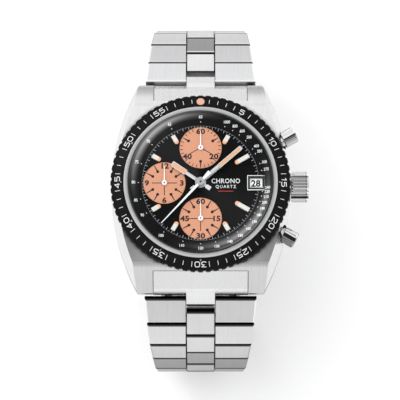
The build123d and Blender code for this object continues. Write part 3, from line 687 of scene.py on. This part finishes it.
# material key: the pieces that wear it; links and clasp parts are found by their names
PIECES = {
    "case": "case_middle", "end_link": "end_links", "back": "case_back", "ring": "crystal_ring",
    "polish": "case_tubes", "crown": "crown", "start_push": "start_pusher",
    "reset_push": "reset_pusher", "date_frame": "date_frame", "crystal": "crystal",
    "bezel": "bezel_ring", "insert": "bezel_insert", "dial": "dial", "flange": "flange_ring",
    "marker": "hour_markers", "hand": "hour_hand minute_hand",
    "white": "chrono_seconds_hand minute_counter_hand hour_counter_hand small_seconds_hand",
    "brass": "main_plate train_bridge hour_wheel cannon_pinion minute_wheel",
    "spring": "setting_stem movement_screws battery bezel_click_spring pusher_springs "
              "start_lever reset_hammer stepper_rotor",
    "plastic": "movement_holder", "rubber": "case_gaskets", "board": "circuit_board",
    "copper": "drive_coil", "date_white": "date_disc",
}
material_of = {piece: key for key, names in PIECES.items() for piece in names.split()}

# painted reflection: steel tone of each row, (outer links, centre link), from the case down, each
# row lighter or darker for the light it reflects; later rows use the one level below
ROW_REFLECTION_12 = [(0.875, 0.93), (0.742, 0.385), (0.61, 0.695), (0.74, 0.74)]
ROW_REFLECTION_6 = [(0.825, 0.766), (0.664, 0.654), (0.673, 0.485), (0.506, 0.92), (0.87, 0.87)]
OTHER_ROW_REFLECTION = (0.78, 0.78)


def paint(piece, coat):
    piece.data.materials.clear()
    piece.data.materials.append(coat)


def paint_link(name, piece):
    """Link names are link_<12 or 6>_<row counted from 1>."""
    half, number = name.split("_")[1:]
    row = int(number) - 1
    row_reflections, side = (ROW_REFLECTION_12, 1) if half == "12" else (ROW_REFLECTION_6, -1)
    outer, centre = row_reflections[row] if row < len(row_reflections) else OTHER_ROW_REFLECTION
    paint(piece, link_steel(f"{name}_steel", side, row, outer, centre))


for name, piece in nodes.items():
    if name.startswith("link_"):
        paint_link(name, piece)
    elif name.startswith("clasp_"):
        paint(piece, materials["clasp"])
    else:
        paint(piece, materials[material_of[name]])


# ------------------------------------------------------------------ second materials
INSERT_INNER, INSERT_TOP = 16.46, 10.15    # inner radius and height there, mm
INSERT_DROP, INSERT_RUN = 0.79, 2.14       # outward fall of the insert and its width, mm
PIP_RADIUS = 0.00086                       # m
PIP_PLACE = Vector((0, 0.01745, 0.009784))
pip_lean = math.atan(INSERT_DROP / INSERT_RUN)
pip_axis = Vector((0, math.sin(pip_lean), math.cos(pip_lean)))
BOSS_RADIUS = 0.00083                      # m


def paint_core(piece, coat, distance, radius):
    """Second material on faces whose corners all lie within a radius."""
    mesh = piece.data
    mesh.materials.append(coat)
    for face in mesh.polygons:
        if all(distance(mesh.vertices[corner].co) < radius for corner in face.vertices):
            face.material_index = 1


def from_pip_axis(point):
    away = point - PIP_PLACE
    return (away - pip_axis * away.dot(pip_axis)).length


# the pip is part of the insert's own mesh
paint_core(nodes["bezel_insert"], materials["pip"], from_pip_axis, PIP_RADIUS)


# ------------------------------------------------------------------ thin solids
PRINT_LOW, PRINT_HIGH = 0.004, 0.03    # print lies between these heights over its surface, mm
FLANGE_INNER, FLANGE_LOW = 12.5, 9.32       # inner radius and height there, mm
FLANGE_RISE, FLANGE_RUN = 0.98, 2.4


def on_insert(x, y):
    return INSERT_TOP - (math.hypot(x, y) - INSERT_INNER) * INSERT_DROP / INSERT_RUN


def on_flange(x, y):
    radius = min(max(math.hypot(x, y), FLANGE_INNER), FLANGE_INNER + FLANGE_RUN)
    return FLANGE_LOW + (radius - FLANGE_INNER) * FLANGE_RISE / FLANGE_RUN


def flat(z):
    return lambda x, y: z


def polar(angle, radius=0.0):
    """Place function: (u, v) with v outwards along a dial angle, from a radius on."""
    turn = math.radians(angle)
    cos_turn, sin_turn = math.cos(turn), math.sin(turn)
    return lambda u, v: (u * cos_turn + (v + radius) * sin_turn,
                         -u * sin_turn + (v + radius) * cos_turn)


def shifted(x, y):
    """Place function: upright, about (x, y)."""
    return lambda u, v: (x + u, y + v)


class Solids:
    """Collects closed solids, in millimetres, into one mesh object.

    surface(x, y) is the height below a solid; base and top are heights over it."""

    def __init__(self):
        self.mesh = bmesh.new()

    def add(self, points, faces):
        corners = [self.mesh.verts.new(point) for point in points]
        for face in faces:
            # guards against doubled faces, which welded text outlines may hold
            try:
                self.mesh.faces.new([corners[i] for i in face])
            except ValueError:
                pass

    def prism(self, outline, surface, base=PRINT_LOW, top=PRINT_HIGH):
        count = len(outline)
        points = [(x, y, surface(x, y) + height) for height in (base, top) for x, y in outline]
        faces = [tuple(reversed(range(count))), tuple(range(count, 2 * count))]
        for i in range(count):
            j = (i + 1) % count
            faces.append((i, j, count + j, count + i))
        self.add(points, faces)

    def strip(self, left, right, surface, base=PRINT_LOW, top=PRINT_HIGH, closed=False):
        count = len(left)
        points = [(x, y, surface(x, y) + height) for height in (base, top)
                  for edge in (left, right) for x, y in edge]
        # first index of the (left, right) edges, below and above
        left_low, right_low, left_top, right_top = (count * i for i in range(4))
        faces = []
        for i in range(count if closed else count - 1):
            j = (i + 1) % count
            faces += [(left_top + i, left_top + j, right_top + j, right_top + i),
                      (left_low + i, right_low + i, right_low + j, left_low + j),
                      (left_low + i, left_low + j, left_top + j, left_top + i),
                      (right_low + i, right_top + i, right_top + j, right_low + j)]
        if not closed:
            end = count - 1
            faces += [(left_low, left_top, right_top, right_low),
                      (left_low + end, right_low + end, right_top + end, left_top + end)]
        self.add(points, faces)

    def stroke(self, path, width, place, surface, closed=False):
        """A pen line of even width along a path, with mitred corners."""
        count = len(path)
        left, right = [], []
        for i, (x, y) in enumerate(path):
            directions = []
            if i > 0 or closed:
                before = path[i - 1]
                directions.append(Vector((x - before[0], y - before[1])).normalized())
            if i < count - 1 or closed:
                after = path[(i + 1) % count]
                directions.append(Vector((after[0] - x, after[1] - y)).normalized())
            tangent = directions[0]
            if len(directions) > 1 and (directions[0] + directions[1]).length > 0.2:
                tangent = sum(directions, Vector((0, 0))).normalized()
            across = Vector((-tangent.y, tangent.x))
            stretch = 1.0
            if len(directions) > 1:
                miter = across.dot(Vector((-directions[0].y, directions[0].x)))
                stretch = 1.0 / max(0.45, miter)
            for edge, sign in ((left, 1), (right, -1)):
                edge.append(place(x + sign * across.x * width / 2 * stretch,
                                  y + sign * across.y * width / 2 * stretch))
        self.strip(left, right, surface, closed=closed)

    def text(self, body, size, place, surface, lift=0.0, bold=0.0, spacing=1.0, width=1.0):
        curve = bpy.data.curves.new("tmp_text", "FONT")
        curve.body = body
        curve.size = size
        curve.align_x = "CENTER"
        curve.align_y = "CENTER"
        curve.resolution_u = 2
        curve.extrude = 0.5
        curve.offset = bold
        curve.space_character = spacing
        holder = bpy.data.objects.new("tmp_text", curve)
        scene.collection.objects.link(holder)
        depsgraph = bpy.context.evaluated_depsgraph_get()
        mesh = bpy.data.meshes.new_from_object(holder.evaluated_get(depsgraph),
                                               depsgraph=depsgraph)
        letters = bmesh.new()
        letters.from_mesh(mesh)
        bmesh.ops.remove_doubles(letters, verts=letters.verts, dist=size * 1e-4)
        letters.verts.index_update()
        heights = [vert.co.y for vert in letters.verts]
        middle = (min(heights) + max(heights)) / 2
        points = []
        for vert in letters.verts:
            x, y = place(vert.co.x * width, vert.co.y - middle)
            level = (PRINT_HIGH if vert.co.z > 0 else PRINT_LOW) + lift
            points.append((x, y, surface(x, y) + level))
        self.add(points, [tuple(vert.index for vert in face.verts) for face in letters.faces])
        letters.free()
        bpy.data.objects.remove(holder)
        bpy.data.curves.remove(curve)
        bpy.data.meshes.remove(mesh)

    def tick(self, angle, inner, outer, width, surface, outer_width=None, centre=(0.0, 0.0),
             top=PRINT_HIGH):
        """Radial line about a centre, tapered if outer_width is given."""
        place = polar(angle)
        outer_width = width if outer_width is None else outer_width
        corners = [place(-width / 2, inner), place(width / 2, inner),
                   place(outer_width / 2, outer), place(-outer_width / 2, outer)]
        self.prism([(centre[0] + x, centre[1] + y) for x, y in corners], surface, top=top)

    def disc(self, x, y, radius, surface, base=PRINT_LOW, top=PRINT_HIGH, count=16):
        turns = [2 * math.pi * i / count for i in range(count)]
        self.prism([(x + radius * math.cos(turn), y + radius * math.sin(turn)) for turn in turns],
                   surface, base, top)

    def finish(self, name, coat, body, slot):
        bmesh.ops.recalc_face_normals(self.mesh, faces=self.mesh.faces)
        bmesh.ops.scale(self.mesh, vec=(MM, MM, MM), verts=self.mesh.verts)
        mesh = bpy.data.meshes.new(name)
        self.mesh.to_mesh(mesh)
        self.mesh.free()
        piece = bpy.data.objects.new(name, mesh)
        scene.collection.objects.link(piece)
        mesh.materials.append(coat)
        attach(piece, body)


# ------------------------------------------------------------------ bezel print
# Pen path of each digit in a unit box, whether it is closed, and its advance in widths.
DIGITS = {
    "0": ([(0, .28), (0, .72), (.1, .92), (.3, 1), (.7, 1), (.9, .92),
           (1, .72), (1, .28), (.9, .08), (.7, 0), (.3, 0), (.1, .08)], True, 1.0),
    "1": ([(0.0, .78), (.42, 1), (.42, 0)], False, 0.5),
    "2": ([(0, .76), (.06, .93), (.25, 1), (.75, 1), (.95, .92),
           (1, .74), (.93, .58), (.1, .2), (0, 0), (1, 0)], False, 1.0),
    "3": ([(0, 1), (.95, 1), (.42, .6), (.72, .58), (.94, .46),
           (1, .27), (.92, .08), (.7, 0), (.22, 0), (0, .1)], False, 1.0),
    "4": ([(.72, 0), (.72, 1), (0, .3), (1, .3)], False, 1.0),
    "5": ([(.96, 1), (.1, 1), (.06, .58), (.7, .6), (.93, .5),
           (1, .3), (.93, .1), (.7, 0), (.2, 0), (0, .1)], False, 1.0),
}
DIGIT_WIDTH, DIGIT_HEIGHT, DIGIT_GAP, DIGIT_PEN = 0.98, 1.0, 0.40, 0.145
NUMERAL_FOOT = 17.02       # radius of the numerals' baseline
HOUR_FIGURE_RADIUS = 16.70


def stroke_number(solids, number, angle):
    advances = [DIGIT_WIDTH * DIGITS[digit][2] for digit in number]
    u = -(sum(advances) + DIGIT_GAP * (len(number) - 1)) / 2
    for digit, advance in zip(number, advances):
        path, closed, _ = DIGITS[digit]
        points = [(u + x * DIGIT_WIDTH, NUMERAL_FOOT + y * DIGIT_HEIGHT) for x, y in path]
        solids.stroke(points, DIGIT_PEN, polar(angle), on_insert, closed)
        u += advance + DIGIT_GAP


def print_bezel():
    coat, body, slot = materials["print_white"], "bezel", "bezel_insert_black"
    solids = Solids()
    for minute in range(1, 60):
        if minute % 5:
            # ticks next to a numeral are longer, except beside the pip
            long = minute % 5 in (1, 4) and minute not in (1, 59)
            inner, outer = (16.98, 18.08) if long else (17.1, 17.98)
            solids.tick(minute * 6, inner, outer, width=0.10, surface=on_insert)
    solids.finish("bezel_minute_ticks", coat, body, slot)

    solids = Solids()
    for hour in range(1, 12):
        stroke_number(solids, str(hour * 5), hour * 30)
    solids.finish("bezel_numerals", coat, body, slot)

    solids = Solids()
    for hour in range(1, 12):
        solids.text(str(hour), 0.52, polar(hour * 30, HOUR_FIGURE_RADIUS), on_insert, lift=0.003)
    solids.finish("bezel_hour_figures", coat, body, slot)


print_bezel()

# ------------------------------------------------------------------ flange speed scale
SPEEDS = [1000, 800, 600, 500, 400, 350, 300, 275, 240, 220, 210, 200, 190, 180, 170,
          160, 150, 140, 130, 120, 110, 100, 90, 85, 80, 75, 70, 65, 60]
# angles of figures moved off their true place, which is 3600 / speed seconds
MOVED = {1000: 23.0, 800: 31.0, 600: 38.5, 500: 46.5, 400: 56.5, 240: 94.6}
SPEED_RADIUS, SPEED_DOT_RADIUS = 14.1, 13.1


def print_flange():
    solids = Solids()
    for speed in SPEEDS:
        angle = MOVED.get(speed, 3600.0 / speed * 6.0)
        solids.text(str(speed), 0.90 if speed <= 150 else 0.84,
                    shifted(*polar(angle)(0, SPEED_RADIUS)), on_flange,
                    bold=0.012, spacing=0.92, width=0.92)
        solids.disc(*polar(angle)(0, SPEED_DOT_RADIUS), radius=0.10, surface=on_flange, count=8)
    solids.finish("flange_speed_scale", materials["print_white"], "case", "flange_black")


print_flange()

# ------------------------------------------------------------------ dial print
on_dial = flat(9.2)
TRACK_RADIUS = 12.30      # outer end of the minute ticks
RING_EDGES = (12.36, 12.28)
RING_START, RING_SWEEP, RING_STEPS = 98.5, 343, 170    # the ring is open at the date


def print_minute_track():
    solids = Solids()
    turns = [math.radians(RING_START + i * RING_SWEEP / RING_STEPS)
             for i in range(RING_STEPS + 1)]
    edges = [[(radius * math.sin(turn), radius * math.cos(turn)) for turn in turns]
             for radius in RING_EDGES]
    solids.strip(*edges, on_dial)
    solids.finish("minute_ring", materials["print_dim"], "case", "dial_black")

    solids = Solids()
    for half_minute in range(120):
        angle = half_minute * 3
        if 81 < angle < 99:    # clear of the date
            continue
        if half_minute % 10 == 0:
            inner, width = 11.60, 0.11
        elif half_minute % 2 == 0:
            inner, width = 11.74, 0.095
        else:
            inner, width = 12.05, 0.06
        solids.tick(angle, inner, TRACK_RADIUS, width, on_dial)
    solids.finish("minute_track", materials["print_grey"], "case", "dial_black")


print_minute_track()

SUBDIAL_OFFSET = 7.62     # sub-dial centres from the dial centre
SUBDIAL_Z = 9.05
SUBDIAL_HOLE, SUBDIAL_RADIUS = 0.31, 4.46
on_subdial = flat(SUBDIAL_Z + 0.033)
SUBDIALS = {"12": (0.0, SUBDIAL_OFFSET), "9": (-SUBDIAL_OFFSET, 0.0), "6": (0.0, -SUBDIAL_OFFSET)}


def subdial_plate(key, x0, y0):
    solids = Solids()
    count = 96
    turns = [2 * math.pi * i / count for i in range(count)]
    edges = [[(x0 + radius * math.sin(turn), y0 + radius * math.cos(turn)) for turn in turns]
             for radius in (SUBDIAL_RADIUS, SUBDIAL_HOLE)]
    solids.strip(*edges, flat(SUBDIAL_Z), base=0.002, top=0.035, closed=True)
    solids.finish(f"subdial_plate_{key}", salmon(f"salmon_{key}", x0, y0), "case", "dial_black")


def subdial_print(key, x0, y0):
    solids = Solids()

    def figure(text, angle, radius):
        x, y = polar(angle)(0, radius)
        solids.text(text, 1.58, shifted(x0 + x, y0 + y), on_subdial, bold=0.05, width=1.2)

    def tick(angle, inner, outer, width, **shape):
        solids.tick(angle, inner, outer, width, on_subdial, centre=(x0, y0), **shape)

    def drop(angle, inner=2.82, outer=4.34):
        """Round head towards the middle with a tapering tail."""
        x, y = polar(angle)(0, inner)
        solids.disc(x0 + x, y0 + y, 0.31, on_subdial, count=14)
        tick(angle, inner, outer, 0.30, outer_width=0.13, top=PRINT_HIGH - 0.002)

    if key == "12":
        spokes = (120, 240)
        figure("60", 0, 3.55)
        figure("20", 124, 3.38)
        figure("40", 236, 3.38)
        for angle in (60, 180, 300):
            drop(angle, 2.95, 4.3)
    else:
        spokes = (90, 180, 270)
        figures = ("12", "3", "6", "9") if key == "9" else ("60", "15", "30", "45")
        for angle, text in zip((0, 90, 180, 270), figures):
            figure(text, angle, 3.68 if len(text) == 1 or angle in (0, 180) else 3.3)
        for angle in (30, 60, 120, 150, 210, 240, 300, 330):
            drop(angle)
    for angle in spokes:
        tick(angle, inner=0.6, outer=2.65, width=0.15)
    if key == "12":
        for angle in range(0, 360, 12):
            # clear of the top figure and of the spokes
            if min(angle, 360 - angle) >= 13 and angle not in spokes:
                tick(angle, inner=3.72, outer=4.3, width=0.13)
    solids.finish(f"subdial_print_{key}", materials["print_dark"], "case", "dial_black")


for key, (x0, y0) in SUBDIALS.items():
    subdial_plate(key, x0, y0)
    subdial_print(key, x0, y0)


def print_wording():
    """Two words right of centre, over a thin red rule."""
    x = 5.3
    solids = Solids()
    solids.text("CHRONO", 1.42, shifted(x, 0.42), on_dial, bold=0.012, spacing=1.08, width=0.92)
    solids.text("QUARTZ", 0.92, shifted(x, -0.85), on_dial, bold=0.006, spacing=1.3, width=0.98)
    solids.finish("dial_wording", materials["print_white"], "case", "dial_black")
    left, right, low, high = 3.7, 6.9, -1.86, -1.70
    solids = Solids()
    solids.prism([(left, low), (right, low), (right, high), (left, high)], on_dial)
    solids.finish("dial_red_rule", materials["print_red"], "case", "dial_black")


print_wording()

DATE_RADIUS, DATE_Z, DATE_SHOWN = 11.62, 8.62, 28


def date_place(turn):
    """Place function: v is up when the figure is at 3 o'clock; turn is counter-clockwise."""
    cos_turn, sin_turn = math.cos(turn), math.sin(turn)
    return lambda u, v: ((DATE_RADIUS + u) * cos_turn - v * sin_turn,
                         (DATE_RADIUS + u) * sin_turn + v * cos_turn)


def print_dates():
    solids = Solids()
    for day in range(1, 32):
        turn = math.radians((day - DATE_SHOWN) * 360 / 31)
        solids.text(str(day), 1.95, date_place(turn), flat(DATE_Z), bold=0.06)
    solids.finish("date_figures", materials["date_black"], "date_disc", "date_white")


print_dates()

# ------------------------------------------------------------------ hands
paint_core(nodes["chrono_seconds_hand"], materials["boss"],
           lambda point: math.hypot(point.x, point.y), BOSS_RADIUS)

# dark pin ends: body, centre x and y, height of the hand's top, pin radius
PIN_ENDS = [
    ("chrono_seconds", (0.0, 0.0), 10.86, 0.17),
    ("minute_counter", SUBDIALS["12"], 9.66, 0.15),
    ("hour_counter", SUBDIALS["9"], 9.66, 0.15),
    ("small_seconds", SUBDIALS["6"], 9.66, 0.15),
]
for body, (x, y), z, radius in PIN_ENDS:
    solids = Solids()
    solids.disc(x, y, radius, flat(z), base=0.002, top=0.02)
    solids.finish(f"{body}_pin_end", materials["pin_dark"], body, "polished_steel")


def dress_hand(name, angle, z, start, joint, end, stem_width, width, lume_width):
    """Ridged steel stem from start to joint, then an inlay in a raised rim up to end."""
    place = polar(angle)
    base, rim_top, lume_top, clearance = 0.002, 0.06, 0.05, 0.004
    solids = Solids()
    points = []
    for v, ridge in ((start, 0.01), (start + 0.3, 0.1), (joint, 0.1)):
        for u, height in ((-stem_width / 2, 0.0), (0, ridge), (stem_width / 2, 0.0)):
            points.append((*place(u, v), z + base + height))
    solids.add(points, [(0, 1, 4, 3), (1, 2, 5, 4), (3, 4, 7, 6), (4, 5, 8, 7),
                        (0, 3, 6, 8, 5, 2), (0, 2, 1), (6, 7, 8)])
    for near, far in ((-width / 2, -lume_width / 2), (lume_width / 2, width / 2)):
        solids.prism([place(near, joint), place(far, joint), place(far, end), place(near, end)],
                     flat(z), base, rim_top)
    cap, taper = 0.18, 0.05
    solids.prism([place(-width / 2, end), place(width / 2, end),
                  place(width / 2 - taper, end + cap), place(-width / 2 + taper, end + cap)],
                 flat(z), base, rim_top)
    solids.finish(name + "_ridge", materials["hand"], name, "hand_steel")

    solids = Solids()
    half = lume_width / 2 - clearance
    low, high = joint + clearance, end - clearance
    solids.prism([place(-half, low), place(half, low), place(half, high), place(-half, high)],
                 flat(z), base, lume_top)
    solids.finish(name + "_lume", materials["lume"], name, "hand_steel")


dress_hand("hour_hand", angle=304.1, z=9.9, start=1.15, joint=3.75, end=7.0,
           stem_width=0.76, width=1.15, lume_width=0.82)
dress_hand("minute_hand", angle=49.0, z=10.3, start=0.97, joint=5.1, end=11.05,
           stem_width=0.90, width=0.94, lume_width=0.62)

# ------------------------------------------------------------------ floor
FLOOR_HALF = 3.0
FLOOR_GAP = 0.00002
# Painted shadow that steel sees in the floor: its level from y = -0.40 m (0) to y = 0.40 m (1).
SEEN_SHADOW_STOPS = [(0.0, 0.88), (0.37, 0.90), (0.42, 0.72), (0.435, 0.42), (0.47, 0.40), (0.5, 0.40),
              (0.56, 0.45), (0.60, 0.86), (0.66, 0.84), (0.72, 0.45), (0.85, 0.42)]


def floor_material():
    """Pale floor, clear from below, with painted shadow bands under the bracelet that only
    reflections see, and painted light for reflections from very near it.
    """
    mat = material("floor_pale")
    cloud = mat.noise(40)
    color_stops = mat.ramp(cloud, [(0.3, 0.925), (0.7, 0.94)])
    # slightly blue: each stop has its own blue
    elements = color_stops.socket.node.color_ramp.elements
    for element, blue in zip(elements, (0.93, 0.945)):
        element.color = (*element.color[:2], blue, 1)
    x, y, _ = mat.xyz(mat.coord())
    seen = mat.ramp(mat.map_range(y, low=-0.40, high=0.40), SEEN_SHADOW_STOPS)
    near = 1.0 - mat.step(abs(x), edge=0.032, soft=0.008)
    seen_far = (0.90,) * 3
    seen = mat.mix(near, seen_far, seen)
    light_path = mat.add("LightPath")
    glossy_ray = light_path.output("Is Glossy Ray")
    colour = mat.mix(glossy_ray, color_stops, seen)
    backfacing = mat.add("NewGeometry").output("Backfacing")
    # painted light: reflections from very near the floor see it glow brighter
    close = glossy_ray * (light_path.output("Ray Length") < 0.0025)
    glow, close_painted_glow = 0.07, 0.55
    solid = mat.bsdf(colour, rough=0.9, spec=0.1, emission=(1.0, 1.0, 1.0),
                     glow=mat.lerp(close, glow, close_painted_glow))
    return mat.finish(mat.mix_shader(backfacing, solid, mat.add("BsdfTransparent")))


def build_floor():
    z = start_low.z - FLOOR_GAP
    mesh = bpy.data.meshes.new("floor")
    corners = [(x * FLOOR_HALF, y * FLOOR_HALF, z) for x, y in ((-1, -1), (1, -1), (1, 1), (-1, 1))]
    mesh.from_pydata(corners, [], [(0, 1, 2, 3)])
    floor = bpy.data.objects.new("floor", mesh)
    scene.collection.objects.link(floor)
    paint(floor, floor_material())


build_floor()

# ------------------------------------------------------------------ world and lights
# Level of the tent that reflections see, by the z of the direction.
TENT_STOPS = [(0.0, 0.62), (0.06, 0.78), (0.13, 0.96), (0.22, 0.92),
              (0.40, 0.86), (0.66, 0.80), (0.88, 0.92), (1.0, 0.95)]


def build_world():
    """Even white for lighting; reflections see a wrap-round tent with dark cards."""
    world = bpy.data.worlds.new("studio")
    scene.world = world
    sky = Shader(world, "World")
    x, y, z = sky.xyz(sky.coord("Generated"))
    tent = sky.ramp(z, TENT_STOPS)
    strip = (sky.band(z, low=0.47, high=0.57, soft=0.03)
             * (1.0 - sky.step(y, edge=-0.2, soft=0.1)))
    card = sky.band(x, low=0.30, high=0.46, soft=0.05) * sky.step(z, edge=0.55, soft=0.1)
    darkness, even_light, white = 0.8, 0.99, (0.998, 1.0, 1.004)
    reflected = tent * (1.0 - sky.maximum(strip, card) * darkness)
    level = sky.lerp(sky.add("LightPath", output="Is Glossy Ray"), even_light, reflected)
    colour = sky.add("CombineXYZ", {i: level * factor for i, factor in enumerate(white)})
    sky.finish(sky.add("Background", {0: colour, 1: 1.0}))


def area(name, place, size, power, size_y=None):
    """Area light aimed at the origin."""
    light = bpy.data.lights.new(name, "AREA")
    light.shape = "RECTANGLE" if size_y else "SQUARE"
    light.size = size
    if size_y:
        light.size_y = size_y
    light.energy = power
    holder = bpy.data.objects.new(name, light)
    holder.location = place
    holder.rotation_euler = (-Vector(place)).to_track_quat("-Z", "Y").to_euler()
    scene.collection.objects.link(holder)
    return holder


build_world()
key_light = area("key", (-0.36, 0.30, 0.92), size=0.85, power=3.0)
key_light.visible_glossy = False
area("glint", (-0.55, 0.42, 0.75), size=0.22, power=0.9, size_y=0.10)

# ------------------------------------------------------------------ camera
CAMERA_TILT = math.radians(12.3)    # from straight above, towards 6 o'clock
CAMERA_DISTANCE = 0.5
CAMERA_TARGET = Vector((0, 0, 0.0092))


def build_camera():
    lens = bpy.data.cameras.new("camera")
    lens.sensor_width = 36.0
    lens.lens = 214.0
    lens.shift_x = -0.0015
    lens.shift_y = -0.0428
    lens.clip_start = 0.01
    lens.clip_end = 20.0
    camera = bpy.data.objects.new("camera", lens)
    backwards = Vector((0, -math.sin(CAMERA_TILT), math.cos(CAMERA_TILT)))
    camera.location = CAMERA_TARGET + backwards * CAMERA_DISTANCE
    camera.rotation_euler = (-backwards).to_track_quat("-Z", "Y").to_euler()
    scene.collection.objects.link(camera)
    scene.camera = camera


build_camera()
scene.view_settings.view_transform = "Standard"
scene.view_settings.look = "None"
